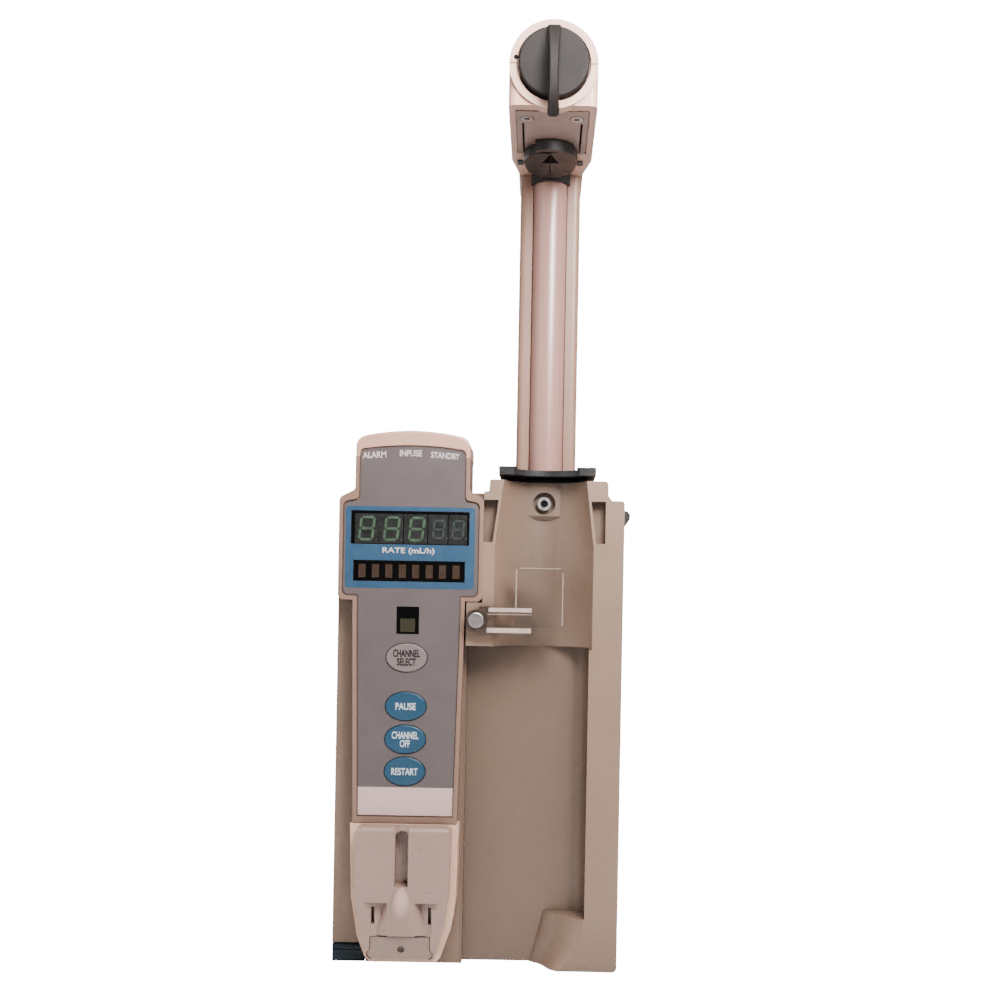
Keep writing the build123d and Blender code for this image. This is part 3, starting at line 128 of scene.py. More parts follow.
# ------------------------------------------------------------------ material building blocks
class Look:
    """A node material in the making, with short ways to add the usual nodes."""

    def __init__(self, name):
        self.material = bpy.data.materials.new(name)
        self.material.use_nodes = True
        self.tree = self.material.node_tree
        self.shader = self.tree.nodes["Principled BSDF"]
        self.place = self.tree.nodes.new("ShaderNodeTexCoord").outputs["Object"]

    def add(self, kind, **settings):
        node = self.tree.nodes.new(kind)
        for key, value in settings.items():
            setattr(node, key, value)
        return node

    def link(self, source, target):
        self.tree.links.new(source, target)

    def put(self, socket, value):
        self.shader.inputs[socket].default_value = value

    def stretched(self, scale):
        """Object coordinates scaled by a vector."""
        node = self.add("ShaderNodeMapping")
        self.link(self.place, node.inputs["Vector"])
        node.inputs["Scale"].default_value = scale
        return node.outputs["Vector"]

    def axes(self, place=None):
        """The X, Y and Z of a place, the point's own one unless another is given."""
        node = self.add("ShaderNodeSeparateXYZ")
        self.link(place or self.place, node.inputs["Vector"])
        return node.outputs

    def noise(self, scale, detail, place=None, distortion=0.0):
        node = self.add("ShaderNodeTexNoise")
        self.link(place or self.place, node.inputs["Vector"])
        node.inputs["Scale"].default_value = scale
        node.inputs["Detail"].default_value = detail
        node.inputs["Distortion"].default_value = distortion
        return node.outputs["Fac"]

    def ramp(self, source, low, high, color_low, color_high):
        node = self.add("ShaderNodeValToRGB")
        self.link(source, node.inputs["Fac"])
        first, last = node.color_ramp.elements
        first.position, last.position = low, high
        first.color = (*color_low, 1)
        last.color = (*color_high, 1)
        return node.outputs["Color"]

    def span(self, source, low, high, out_low, out_high):
        node = self.add("ShaderNodeMapRange")
        self.link(source, node.inputs["Value"])
        sockets = ("From Min", "From Max", "To Min", "To Max")
        for socket, value in zip(sockets, (low, high, out_low, out_high)):
            node.inputs[socket].default_value = value
        return node.outputs["Result"]

    def math(self, operation, a, b=0.0):
        node = self.add("ShaderNodeMath", operation=operation)
        for socket, value in zip(node.inputs, (a, b)):
            if isinstance(value, (int, float)):
                socket.default_value = value
            else:
                self.link(value, socket)
        return node.outputs["Value"]

    def mix(self, factor, a, b, blend="MIX"):
        node = self.add("ShaderNodeMix", data_type="RGBA", blend_type=blend)
        for socket, value in ((node.inputs["Factor"], factor), (node.inputs[6], a), (node.inputs[7], b)):
            if isinstance(value, tuple):
                socket.default_value = (*value, 1)
            elif isinstance(value, float):
                socket.default_value = value
            else:
                self.link(value, socket)
        return node.outputs[2]

    def crevice(self, distance):
        """1 in the open, falling to 0 deep in corners."""
        node = self.add("ShaderNodeAmbientOcclusion", samples=6)
        node.inputs["Distance"].default_value = distance
        return node.outputs["AO"]

    def bump(self, height, strength, distance, after=None):
        node = self.add("ShaderNodeBump")
        self.link(height, node.inputs["Height"])
        node.inputs["Strength"].default_value = strength
        node.inputs["Distance"].default_value = distance
        if after:
            self.link(after, node.inputs["Normal"])
        return node.outputs["Normal"]

    def color(self, source):
        self.link(source, self.shader.inputs["Base Color"])

    def rough(self, source):
        self.link(source, self.shader.inputs["Roughness"])

    def normal(self, source):
        self.link(source, self.shader.inputs["Normal"])


def shade(color, factor):
    return tuple(min(1.0, c * factor) for c in color)


SUNK_START, SUNK_FULL = -69 * MM, -58 * MM     # Y where the recess and trough begin and end to darken, as painted shade
SUNK_END = -52 * MM                            # no painted shade behind this Y
SUNK_LEFT, SUNK_RIGHT = -7 * MM, 47 * MM       # X range that holds the recess and the trough
PROUD_BLEND = 1.5 * MM                         # depth over which the painted highlight fades in


def moulded(
    name, color, rough=0.45, grain=0.25, mottle=0.05, grime_and_shade=0.35,
    specular=0.45, hollow_shade=0.0, proud_highlight=None, sunk_shade=0.0,
):
    """Moulded plastic: faint mottling, a fine spark-eroded grain, corners darkened partly as soil and partly
    as painted shade, and light scuffs.

    hollow paints shade into wide hollows too; proud = (depth, colour) paints a lighter colour, a painted
    highlight, on what lies further forward than the depth; sunk paints shade on the recess and the trough,
    darker the further they lie behind the front. The last two go by position on the object, to follow the
    shading in the photograph.
    """
    look = Look(name)
    base = look.ramp(look.noise(26, 4), 0.3, 0.7, shade(color, 1 - mottle), shade(color, 1 + mottle))
    scuff = look.span(look.noise(210, 5, distortion=0.6), 0.66, 0.78, 0.0, 0.16)
    base = look.mix(scuff, base, shade(color, 1.25))
    # painted shade and soil: corners and creases darker by ambient occlusion
    dirt_and_shade = look.span(look.crevice(5 * MM), 0.35, 0.95, grime_and_shade, 0.0)
    base = look.mix(dirt_and_shade, base, shade((color[0], color[1] * 0.9, color[2] * 0.82), 0.5))
    # painted shade: wide hollows darker, by ambient occlusion over 30 mm
    if hollow_shade:
        base = look.mix(look.span(look.crevice(30 * MM), 0.4, 1.0, hollow_shade, 0.0), base, shade(color, 0.2))
    # painted shade: the recess and the trough darker the further they lie behind the front
    if sunk_shade:
        axes = look.axes()
        depth = look.span(axes["Y"], SUNK_START, SUNK_FULL, 0.0, sunk_shade)
        from_left = look.math("GREATER_THAN", axes["X"], SUNK_LEFT)
        across = look.math("MULTIPLY", from_left, look.math("LESS_THAN", axes["X"], SUNK_RIGHT))
        here = look.math("MULTIPLY", across, look.math("LESS_THAN", axes["Y"], SUNK_END))
        base = look.mix(look.math("MULTIPLY", depth, here), base, shade(color, 0.4))
    # painted highlight: a lighter colour on what lies further forward than the given depth
    if proud_highlight:
        front, highlight_color = proud_highlight
        base = look.mix(look.span(look.axes()["Y"], front - PROUD_BLEND, front, 1.0, 0.0), base, highlight_color)
    look.color(base)
    look.rough(look.span(look.noise(90, 3), 0.3, 0.7, rough - 0.05, rough + 0.08))
    fine = look.bump(look.noise(2600, 2), grain, 0.05 * MM)
    look.normal(look.bump(look.noise(60, 2), 0.05, 0.4 * MM, fine))
    look.put("Specular IOR Level", specular)
    return look.material


def metal(name, color, rough=0.3, grain=(400, 400, 20)):
    """Machined or plated metal with fine lines along one axis, and sockets and tight corners painted near
    black as shade.
    """
    look = Look(name)
    lines = look.noise(6, 4, look.stretched(grain))
    base = look.ramp(lines, 0.3, 0.7, shade(color, 0.92), shade(color, 1.08))
    # painted shade: sockets and tight corners near black, by ambient occlusion
    crevice_shade = look.span(look.crevice(1.5 * MM), 0.25, 0.8, 0.95, 0.0)
    look.color(look.mix(crevice_shade, base, (0.012, 0.011, 0.010)))
    look.rough(look.span(lines, 0.3, 0.7, rough - 0.06, rough + 0.1))
    look.normal(look.bump(lines, 0.12, 0.03 * MM))
    look.put("Metallic", 1.0)
    return look.material


def make_paper():
    look = Look("studio_floor")
    look.color(look.ramp(look.noise(3, 2), 0.3, 0.7, (0.90, 0.895, 0.89), (0.93, 0.925, 0.92)))
    look.put("Roughness", 0.9)
    look.put("Emission Color", (1, 1, 1, 1))
    seen = look.add("ShaderNodeLightPath").outputs["Is Camera Ray"]
    look.link(look.span(seen, 0, 1, 0.0, FLOOR_SEEN), look.shader.inputs["Emission Strength"])
    return look.material


# ------------------------------------------------------------------ materials of the pump
BEIGE = (0.188, 0.122, 0.086)
PALE_BEIGE = (0.175, 0.106, 0.076)
SURROUND_BEIGE = (0.56, 0.355, 0.255)
COLUMN_BEIGE = (0.212, 0.117, 0.083)
HEAD_BEIGE = (0.46, 0.275, 0.210)
# painted shade: the plunger panel under the head, darker than the head's beige
PANEL_SHADED_BEIGE = (0.22, 0.150, 0.128)
OFF_WHITE = (0.240, 0.158, 0.129)
# painted highlight for the lit front of the pressure disc bell
BELL_HIGHLIGHT = (0.62, 0.385, 0.345)
TAB_WHITE = (0.190, 0.132, 0.107)
DOME_WHITE = (0.42, 0.240, 0.175)
LABEL_GREY = (0.076, 0.061, 0.060)
STRIP_WHITE = (0.45, 0.31, 0.29)
PANEL_BLUE = (0.0126, 0.048, 0.097)
KEY_BLUE = (0.0072, 0.040, 0.079)
PRINT_WHITE = (0.40, 0.34, 0.34)
SMOKE_BLACK = (0.0016, 0.0016, 0.0016)
DARK_PLASTIC = (0.0095, 0.0075, 0.0070)
BLACK_PLASTIC = (0.009, 0.0085, 0.0085)
LATCH_BLACK = (0.0025, 0.0085, 0.0135)
RUBBER_BLACK = (0.012, 0.012, 0.012)
KEY_GREY = (0.135, 0.104, 0.101)
TUBE_VIOLET = (0.285, 0.155, 0.128)
STRIP_TOP = 76.2 * MM      # Z where the label's pale strip ends


def make_label():
    """Printed film: grey above, a pale strip below, with a faint texture and painted shade darkening it near
    its borders.
    """
    look = Look("label_film")
    wear = look.noise(45, 5)
    grey = look.ramp(wear, 0.3, 0.7, shade(LABEL_GREY, 0.95), shade(LABEL_GREY, 1.06))
    white = look.ramp(wear, 0.3, 0.7, shade(STRIP_WHITE, 0.93), shade(STRIP_WHITE, 1.04))
    in_strip = look.math("LESS_THAN", look.axes()["Z"], STRIP_TOP)
    base = look.mix(in_strip, grey, white)
    # painted shade: darker where the bezel's walls and other edges close in, by ambient occlusion
    crevice_shade = look.span(look.crevice(3 * MM), 0.3, 0.9, 0.5, 0.0)
    look.color(look.mix(crevice_shade, base, (0.06, 0.045, 0.04)))
    look.rough(look.span(look.noise(120, 3), 0.3, 0.7, 0.34, 0.46))
    look.normal(look.bump(look.noise(1500, 2), 0.10, 0.03 * MM))
    look.put("Specular IOR Level", 0.4)
    return look.material


def make_ink(name, color, rough=0.45, specular=0.5):
    """Screen-printed ink, a little uneven and worn."""
    look = Look(name)
    look.color(look.ramp(look.noise(160, 4), 0.3, 0.75, shade(color, 0.88), shade(color, 1.06)))
    look.rough(look.span(look.noise(300, 2), 0.3, 0.7, rough - 0.05, rough + 0.06))
    look.normal(look.bump(look.noise(1800, 2), 0.08, 0.02 * MM))
    look.put("Specular IOR Level", specular)
    return look.material


def make_pane():
    """Smoked window over the displays."""
    look = Look("smoked_window")
    look.color(look.ramp(look.noise(70, 3), 0.3, 0.8, SMOKE_BLACK, shade(SMOKE_BLACK, 1.8)))
    look.rough(look.span(look.noise(220, 4), 0.4, 0.75, 0.08, 0.17))
    look.normal(look.bump(look.noise(900, 2), 0.03, 0.02 * MM))
    look.put("Specular IOR Level", 0.03)
    return look.material


def make_acrylic():
    """Clear moulded acrylic with faint scratches."""
    look = Look("clear_acrylic")
    look.color(look.ramp(look.noise(60, 3), 0.3, 0.7, (0.90, 0.87, 0.84), (0.97, 0.95, 0.93)))
    scratch = look.noise(9, 5, look.stretched((900, 60, 60)))
    look.rough(look.span(scratch, 0.5, 0.8, 0.02, 0.14))
    look.normal(look.bump(scratch, 0.04, 0.02 * MM))
    look.put("Transmission Weight", 1.0)
    look.put("IOR", 1.49)
    return look.material


def make_segment(name, color):
    """The face of a display, or one unlit segment of it, a little uneven."""
    look = Look(name)
    look.color(look.ramp(look.noise(500, 3), 0.3, 0.7, shade(color, 0.75), shade(color, 1.2)))
    look.rough(look.span(look.noise(400, 2), 0.3, 0.7, 0.25, 0.4))
    return look.material


def make_dots(name, ground, dot):
    """A dot-matrix face: a grid of small round dots on a dark ground."""
    pitch = 0.75 * MM
    radius = 0.34           # as a share of the pitch
    look = Look(name)
    axes = look.axes(look.stretched((1 / pitch,) * 3))
    across = look.math("SUBTRACT", look.math("FRACT", axes["X"]), 0.5)
    along = look.math("SUBTRACT", look.math("FRACT", axes["Z"]), 0.5)
    squares = look.math("ADD", look.math("MULTIPLY", across, across), look.math("MULTIPLY", along, along))
    look.color(look.mix(look.math("LESS_THAN", look.math("SQRT", squares), radius), ground, dot))
    look.rough(look.span(look.noise(400, 2), 0.3, 0.7, 0.3, 0.4))
    return look.material


def make_board():
    """Green circuit board with copper tracks under the resist."""
    look = Look("circuit_board")
    tracks = look.add("ShaderNodeTexBrick")
    look.link(look.stretched((220, 220, 220)), tracks.inputs["Vector"])
    tracks.inputs["Mortar Size"].default_value = 0.04
    tracks.inputs["Color1"].default_value = (0.010, 0.085, 0.035, 1)
    tracks.inputs["Color2"].default_value = (0.014, 0.105, 0.045, 1)
    tracks.inputs["Mortar"].default_value = (0.035, 0.17, 0.075, 1)
    look.color(tracks.outputs["Color"])
    look.rough(look.span(look.noise(300, 2), 0.3, 0.7, 0.3, 0.42))
    look.normal(look.bump(tracks.outputs["Fac"], 0.3, 0.04 * MM))
    return look.material


def make_coil():
    """Spring wire: the turns show as a tight wave along the spring, with painted shade in the dark bands
    between them.
    """
    look = Look("spring_wire")
    turns = look.add("ShaderNodeTexWave", wave_type="BANDS", bands_direction="DIAGONAL")
    look.link(look.place, turns.inputs["Vector"])
    turns.inputs["Scale"].default_value = 180
    # painted shade: the dark bands between the turns
    look.color(look.ramp(turns.outputs["Fac"], 0.2, 0.7, (0.05, 0.05, 0.05), (0.5, 0.5, 0.5)))
    look.rough(look.span(turns.outputs["Fac"], 0, 1, 0.5, 0.28))
    look.normal(look.bump(turns.outputs["Fac"], 0.8, 0.4 * MM))
    look.put("Metallic", 1.0)
    return look.material


def make_tube():
    """Satin coated tube, slightly violet, with draw lines along it."""
    look = Look("coated_tube")
    lines = look.noise(5, 4, look.stretched((500, 500, 6)))
    look.color(look.ramp(lines, 0.3, 0.7, shade(TUBE_VIOLET, 0.96), shade(TUBE_VIOLET, 1.04)))
    look.rough(look.span(lines, 0.3, 0.7, 0.26, 0.36))
    look.normal(look.bump(lines, 0.06, 0.02 * MM))
    look.put("Coat Weight", 0.25)
    look.put("Coat Roughness", 0.2)
    return look.material


def dress_nodes():
    """Gives every CAD node its material."""
    case = moulded("case_plastic", BEIGE, hollow_shade=0.4, sunk_shade=0.62)
    bezel = moulded("bezel_plastic", PALE_BEIGE, 0.38, 0.12, grime_and_shade=0.6)
    surround = moulded("surround_plastic", SURROUND_BEIGE, 0.38, 0.12)
    head = moulded("head_plastic", HEAD_BEIGE, 0.36, 0.10, grime_and_shade=0.25)
    # the panel's darker beige is painted shade under the head
    panel = moulded("panel_plastic", PANEL_SHADED_BEIGE, 0.40, 0.12, grime_and_shade=0.85)
    column = moulded("column_plastic", COLUMN_BEIGE, 0.40, 0.16)
    # the front of the holder's bell gets a painted highlight
    holder = moulded("holder_plastic", OFF_WHITE, 0.30, 0.08, grime_and_shade=0.3, proud_highlight=(-78.2 * MM, BELL_HIGHLIGHT))
    tab = moulded("tab_plastic", TAB_WHITE, 0.36, 0.08, grime_and_shade=0.3)
    dome = moulded("dome_plastic", DOME_WHITE, 0.3, 0.06, grime_and_shade=0.15)
    black = moulded("black_plastic", BLACK_PLASTIC, 0.38, 0.2, mottle=0.15, grime_and_shade=0.0)
    knob = moulded("knob_plastic", DARK_PLASTIC, 0.5, 0.5, mottle=0.15, grime_and_shade=0.0, specular=0.12)
    latch = moulded("latch_plastic", LATCH_BLACK, 0.42, 0.12, mottle=0.12, grime_and_shade=0.0, specular=0.2)
    rubber = moulded("black_rubber", RUBBER_BLACK, 0.65, 0.5, mottle=0.15, grime_and_shade=0.0)
    key_grey = moulded("key_grey", KEY_GREY, 0.36, 0.12, mottle=0.04, grime_and_shade=0.2)
    key_blue = moulded("key_blue", KEY_BLUE, 0.34, 0.12, mottle=0.06, grime_and_shade=0.15)
    steel = metal("bright_steel", (0.56, 0.55, 0.54))
    shaft = metal("shaft_steel", (0.36, 0.32, 0.32), 0.38, (20, 400, 400))
    brass = metal("turned_brass", (0.62, 0.44, 0.19), 0.28)
    aluminium = metal("milled_aluminium", (0.68, 0.68, 0.70), 0.35, (20, 400, 400))
    plated = metal("zinc_plate", (0.45, 0.45, 0.46), 0.42)
    looks = {
        case: ("front_case", "rear_case"),
        column: ("column_cover",),
        bezel: ("display_bezel",),
        surround: ("transducer_surround",),
        head: ("head_lower_case", "head_upper_case"),
        panel: ("plunger_plate_frame", "plunger_plate"),
        holder: ("pressure_disc_holder",),
        tab: ("disc_release_tab",),
        dome: ("alarm_dome",),
        make_label(): ("front_label",),
        make_ink("rear_label_film", (0.52, 0.50, 0.49)): ("rear_label",),
        make_pane(): ("rate_window", "message_window", "channel_window"),
        make_segment("display_face", (0.02, 0.022, 0.02)): ("display_modules",),
        make_board(): ("alarm_lamps", "display_board", "main_board"),
        key_grey: ("key_select",),
        key_blue: ("key_pause", "key_off", "key_restart"),
        make_acrylic(): ("barrel_clamp",),
        black: (
            "flange_gripper", "mounting_hook", "hook_receiver", "connector_right",
            "connector_left", "gripper_hub", "finger_left", "finger_right",
        ),
        latch: ("release_latch",),
        knob: ("gripper_knob",),
        rubber: ("tube_collar", "column_wiper"),
        make_coil(): ("clamp_spring", "gripper_springs", "latch_spring"),
        make_tube(): ("drive_tube",),
        shaft: ("clamp_shaft",),
        steel: (
            "case_screws", "head_screws", "pressure_sensor", "lead_screw", "screw_bearings",
            "guide_rods", "release_rod", "knob_shaft",
        ),
        brass: ("contact_pins", "motor_pinion", "drive_gear", "guide_bushes", "half_nut"),
        aluminium: ("carriage", "load_cell"),
        plated: ("drive_frame", "stepper_motor"),
    }
    for material, names in looks.items():
        for name in names:
            slots = NODES[name].material_slots
            if not slots:
                NODES[name].data.materials.append(material)
            for slot in slots:
                slot.material = material


# ------------------------------------------------------------------ printed graphics and displays
def place_piece(mesh, name, material, body, shift=(0, 0, 0)):
    """Makes an object from a mesh in the shared frame, dressed, riding on a body."""
    piece = bpy.data.objects.new(name, mesh)
    bpy.context.scene.collection.objects.link(piece)
    mesh.transform(Matrix.Translation(shift))
    mesh.materials.clear()
    mesh.materials.append(material)
    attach(piece, body)


def from_curve(curve):
    """The mesh of a curve drawn in X and Z, standing upright."""
    holder = bpy.data.objects.new("drawing", curve)
    bpy.context.scene.collection.objects.link(holder)
    graph = bpy.context.evaluated_depsgraph_get()
    mesh = bpy.data.meshes.new_from_object(holder.evaluated_get(graph))
    bpy.data.objects.remove(holder)
    mesh.transform(Matrix.Rotation(math.radians(90), 4, "X"))
    return mesh


def flat_mesh(name, loops, thick=SKIN):
    """A thin plate in the XZ plane: closed loops of (x, z) in metres, inner loops cut holes."""
    curve = bpy.data.curves.new(name, "CURVE")
    curve.dimensions = "2D"
    curve.fill_mode = "BOTH"
    curve.extrude = thick / 2
    for loop in loops:
        spline = curve.splines.new("POLY")
        spline.points.add(len(loop) - 1)
        for point, (x, z) in zip(spline.points, loop):
            point.co = (x, z, 0, 1)
        spline.use_cyclic_u = True
    return from_curve(curve)


def rounded(x0, x1, z0, z1, radius, steps=6):
    """Corner points of a rounded rectangle."""
    points = []
    corners = (
        (x1 - radius, z1 - radius), (x0 + radius, z1 - radius),
        (x0 + radius, z0 + radius), (x1 - radius, z0 + radius),
    )
    for quarter, (cx, cz) in enumerate(corners):
        for step in range(steps + 1):
            turn = math.radians(90 * (quarter + step / steps))
            points.append((cx + radius * math.cos(turn), cz + radius * math.sin(turn)))
    return points


def circle(x, z, radius, count):
    """Points round a circle."""
    turns = [t * math.tau / count for t in range(count)]
    return [(x + radius * math.cos(turn), z + radius * math.sin(turn)) for turn in turns]


def words(name, text, centre, size, material, body, bold, tilt=0.0):
    """Printed words fitted into size = (width, height), centred on a point of the surface."""
    curve = bpy.data.curves.new(name, "FONT")
    curve.body = text
    curve.align_x = "CENTER"
    curve.space_line = 0.85
    curve.offset = bold
    curve.extrude = 0.01
    curve.resolution_u = 6
    mesh = from_curve(curve)
    lows = [min(v.co[i] for v in mesh.vertices) for i in range(3)]
    highs = [max(v.co[i] for v in mesh.vertices) for i in range(3)]
    middle = Vector([(a + b) / 2 for a, b in zip(lows, highs)])
    wide, thick, tall = (b - a for a, b in zip(lows, highs))
    scale = Matrix.Diagonal((size[0] / wide, SKIN / thick, size[1] / tall, 1))
    mesh.transform(Matrix.Rotation(math.radians(tilt), 4, "Y") @ scale @ Matrix.Translation(-middle))
    place_piece(mesh, name, material, body, centre)


def label_front():
    """Y of the middle of a skin laid on the label."""
    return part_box("front_label")[0].y - SKIN / 2


def window_box(node, pad=0.0):
    """The X and Z limits of a window, as rounded takes them."""
    low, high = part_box(node)
    return (low.x - pad, high.x + pad, low.z - pad, high.z + pad)


def make_blue_panel():
    """The blue print round the two upper windows."""
    gap = 0.1 * MM
    rate = window_box("rate_window", gap)
    message = window_box("message_window", gap)
    outer = (rate[0] - 2.2 * MM, rate[1] + 2.3 * MM, message[2] - 2.8 * MM, rate[3] + 1.8 * MM)
    loops = [rounded(*outer, 1.6 * MM), rounded(*rate, 0.2 * MM, 2), rounded(*message, 0.2 * MM, 2)]
    mesh = flat_mesh("blue_panel", loops)
    ink = make_ink("panel_ink", PANEL_BLUE, 0.4)
    place_piece(mesh, "blue_panel", ink, "housing", (0, label_front(), 0))


def make_label_words():
    white = make_ink("white_ink", PRINT_WHITE)
    rows = (
        # name, text, X, Z, width and height in mm, tilt in degrees
        ("word_alarm", "ALARM", -45.8, 216.1, 10.0, 2.7, -3.0),
        ("word_infuse", "INFUSE", -30.5, 217.0, 9.3, 2.7, 0.0),
        ("word_standby", "STANDBY", -15.9, 216.2, 12.2, 2.7, 3.0),
    )
    front = label_front()
    for name, text, x, z, width, height, tilt in rows:
        centre, size = (x * MM, front, z * MM), (width * MM, height * MM)
        words(name, text, centre, size, white, "housing", 0.03, tilt)
    rate = (-30.8 * MM, front - SKIN, 175.7 * MM)
    words("word_rate", "RATE (mL/h)", rate, (22.0 * MM, 3.1 * MM), white, "housing", 0.025)


def make_key_words():
    white = make_ink("key_white_ink", (0.42, 0.44, 0.46))
    black = make_ink("key_black_ink", (0.003, 0.0025, 0.0025), 0.7, 0.05)
    rows = (
        ("key_select", "CHANNEL\nSELECT", black, (11.4, 6.8), "key_grey"),
        ("key_pause", "PAUSE", white, (8.6, 3.0), "key_blue"),
        ("key_off", "CHANNEL\nOFF", white, (11.2, 6.6), "key_blue"),
        ("key_restart", "RESTART", white, (11.1, 3.0), "key_blue"),
    )
    for key, text, ink, (width, height), slot in rows:
        low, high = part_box(key)
        centre = ((low.x + high.x) / 2, low.y - SKIN / 2, (low.z + high.z) / 2)
        words("word_" + key, text, centre, (width * MM, height * MM), ink, key, 0.025)


def segment_loops(width, height, stroke):
    """The seven bars of a digit as pointed hexagons, centred on the origin."""
    half_w, half_h, gap = width / 2, height / 2, stroke * 0.22
    bars = [((-half_w, z), (half_w, z)) for z in (-half_h, 0.0, half_h)]
    for x in (-half_w, half_w):
        bars += [((x, -half_h), (x, 0.0)), ((x, 0.0), (x, half_h))]
    loops = []
    for (xa, za), (xb, zb) in bars:
        along = Vector((xb - xa, zb - za)).normalized()
        across = Vector((-along.y, along.x)) * stroke / 2
        start, end = Vector((xa, za)) + along * gap, Vector((xb, zb)) - along * gap
        lead = along * stroke / 2
        loops.append([
            start, start + lead + across, end - lead + across,
            end, end - lead - across, start + lead - across,
        ])
    return loops


def make_digits():
    """Five slanted seven-segment digits, three large and two small, with decimal points."""
    left, _, low, high = window_box("rate_window")
    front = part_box("rate_window")[0].y - SKIN
    lit = make_segment("segment_green", (0.034, 0.060, 0.036))
    faint = make_segment("segment_faint", (0.022, 0.030, 0.027))
    module = make_segment("module_face", (0.006, 0.0065, 0.006))
    slant = 0.11
    middle_z = (low + high) / 2 - 0.4 * MM
    point_gap, point_radius = 1.3, 0.42 * MM
    rows = (
        # X of the middle from the window's left edge, width, height and stroke in mm, material
        (6.6, 5.5, 9.4, 1.05, lit),
        (17.1, 5.5, 9.4, 1.05, lit),
        (27.6, 5.5, 9.4, 1.05, lit),
        (36.9, 4.3, 7.4, 0.8, faint),
        (45.1, 4.3, 7.4, 0.8, faint),
    )
    edges = (1.6, 22.2, 32.4, 41.0, 49.2)      # of the modules, in mm from the window's left edge
    for number, (a, b) in enumerate(zip(edges, edges[1:])):
        loop = rounded(left + a * MM, left + b * MM - 0.35 * MM, low + 0.3 * MM, high - 1.2 * MM, 0.3 * MM, 2)
        mesh = flat_mesh("module", [loop], SKIN / 2)
        place_piece(mesh, f"digit_module_{number}", module, "housing", (0, front + SKIN / 2, 0))
    for number, (offset, width, height, stroke, material) in enumerate(rows):
        x = left + offset * MM
        loops = []
        for loop in segment_loops(width * MM, height * MM, stroke * MM):
            loops.append([(x + p.x + slant * p.y, middle_z + p.y) for p in loop])
        mesh = flat_mesh("digit", loops)
        place_piece(mesh, f"digit_{number}", material, "housing", (0, front, 0))
        dot_x = x + (width / 2 + point_gap) * MM
        dot_z = middle_z - height / 2 * MM
        mesh = flat_mesh("dot", [circle(dot_x, dot_z, point_radius, 12)])
        place_piece(mesh, f"decimal_point_{number}", faint, "housing", (0, front, 0))


def make_message_cells():
    """Eight unlit dot-matrix characters, and the two in the small channel window."""
    left, right, low, high = window_box("message_window")
    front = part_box("message_window")[0].y - SKIN / 2
    brown = make_dots("matrix_brown", (0.012, 0.006, 0.003), (0.040, 0.017, 0.008))
    green = make_dots("matrix_green", (0.008, 0.007, 0.003), (0.030, 0.026, 0.010))
    count = 8
    pitch = 5.65 * MM
    start = (left + right) / 2 - pitch * (count - 1) / 2
    for number in range(count):
        x = start + pitch * number
        loop = rounded(x - 1.5 * MM, x + 1.5 * MM, low + 1.5 * MM, high - 1.6 * MM, 0.15 * MM, 2)
        mesh = flat_mesh("cell", [loop])
        place_piece(mesh, f"message_cell_{number}", brown, "housing", (0, front, 0))
    left, right, low, high = window_box("channel_window")
    loop = rounded(left + 1.6 * MM, right - 1.6 * MM, low + 0.9 * MM, high - 5.0 * MM, 0.2 * MM, 2)
    mesh = flat_mesh("cell", [loop])
    place_piece(mesh, "channel_cell", green, "housing", (0, front, 0))


def round_spot(name, x, y, z, radius, material, body):
    """A small flat dark spot facing the front."""
    mesh = flat_mesh(name, [circle(0.0, 0.0, radius, 20)])
    place_piece(mesh, name, material, body, (x, y, z))


def make_spots():
    """The dark index dot beside the knob, and a dark disc painted as the shade at the bottom of the trough
    screw's socket.
    """
    dark = make_ink("dark_ink_and_shade", (0.006, 0.005, 0.005), 0.7, 0.05)
    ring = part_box("head_upper_case")[0].y - SKIN / 2
    round_spot("knob_index", 12.0 * MM, ring, 366.0 * MM, 0.95 * MM, dark, "drive_head")
    # painted shade: a dark disc at the bottom of the screw's socket
    round_spot("socket_bottom_shade", 26.1 * MM, -56.9 * MM, 197.7 * MM, 1.5 * MM, dark, "housing")


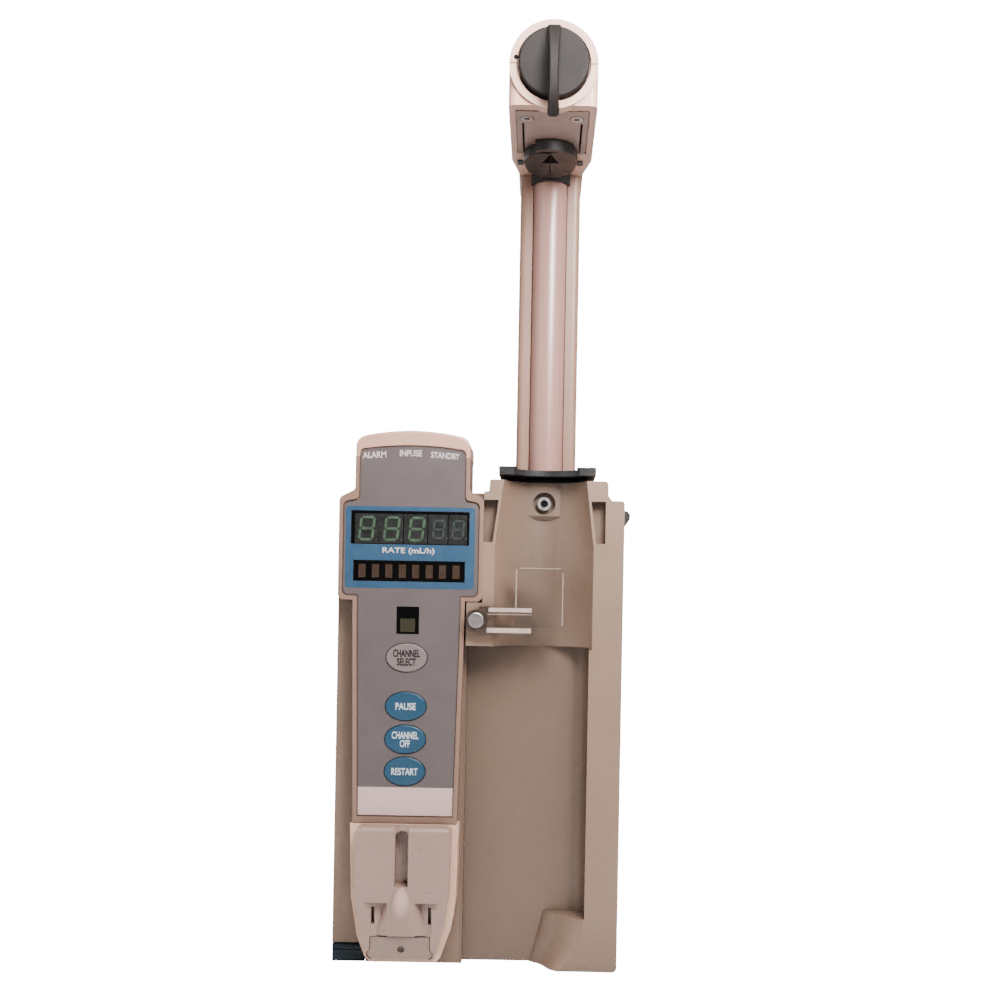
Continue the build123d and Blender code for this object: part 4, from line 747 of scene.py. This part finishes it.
def make_clamp_edges():
    """Pale strips for the bright edges that light gathers in along a clear moulding."""
    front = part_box("barrel_clamp")[0].y + 1.2 * MM - SKIN
    edge = make_ink("acrylic_edge", (0.27, 0.21, 0.17), 0.25)
    glow = make_ink("acrylic_glow", (0.38, 0.29, 0.25), 0.25)
    bars = front - 0.8 * MM
    rows = (
        # name, X and Z limits in mm, Y, material
        ("left", (14.75, 15.25, 152.6, 168.9), front, edge),
        ("top", (16.4, 33.6, 169.2, 169.55), front, edge),
        ("right", (34.25, 34.65, 145.5, 167.5), front, edge),
        ("upper", (3.6, 21.6, 150.9, 152.6), bars, glow),
        ("upper_line", (3.4, 21.8, 149.75, 150.05), bars, edge),
        ("lower", (3.0, 21.4, 142.2, 144.2), bars, glow),
    )
    for name, (x0, x1, z0, z1), y, material in rows:
        loop = rounded(x0 * MM, x1 * MM, z0 * MM, z1 * MM, 0.14 * MM, 2)
        mesh = flat_mesh("edge", [loop])
        place_piece(mesh, "clamp_edge_" + name, material, "clamp_arm", (0, y, 0))


def make_rear_print():
    """Plain ruled lines on the rear rating label, without words."""
    low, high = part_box("rear_label")
    ink = make_ink("rear_ink", (0.05, 0.05, 0.055))
    back = high.y + SKIN / 2
    inset = 3 * MM
    lengths = (0.92, 0.7, 0.85, 0.55, 0.8, 0.62, 0.9, 0.48, 0.74)      # as a share of the label's width
    height = (high.z - low.z - 2 * inset) / len(lengths)
    for row, reach in enumerate(lengths):
        x1 = high.x - inset
        x0 = x1 - (high.x - low.x - 2 * inset) * reach
        z = high.z - inset - (row + 0.5) * height
        loop = rounded(x0, x1, z - 0.35 * MM, z + 0.35 * MM, 0.2 * MM, 2)
        mesh = flat_mesh("rule", [loop])
        place_piece(mesh, f"rear_rule_{row}", ink, "housing", (0, back, 0))


def make_springs():
    """Copies of the coil springs riding on the housing, standing in for the CAD nodes, which are hidden."""
    rows = (
        # CAD node, joint, axis, fixed end in metres, share of the length left at the joint's limit
        ("gripper_springs", "flange_jaw_lift", (0, 0, 1), (0.0264, -0.049, 0.204), 0.84),
        ("clamp_spring", "clamp_pull", (0, 1, 0), (-0.0016, -0.0534, 0.1473), 0.50),
        ("latch_spring", "latch_press", (0, 1, 0), (-0.0536, -0.0357, 0.004), 0.58),
    )
    for name, joint, axis, anchor, keep in rows:
        spring = bpy.data.objects.new(name + "_coils", NODES[name].data.copy())
        bpy.context.scene.collection.objects.link(spring)
        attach(spring, "housing")
        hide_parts(name)
        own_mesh(spring)


# ------------------------------------------------------------------ the scene
make_camera()
make_studio()
make_floor()
dress_nodes()
make_blue_panel()
make_label_words()
make_key_words()
make_digits()
make_message_cells()
make_rear_print()
make_spots()
make_clamp_edges()
make_springs()
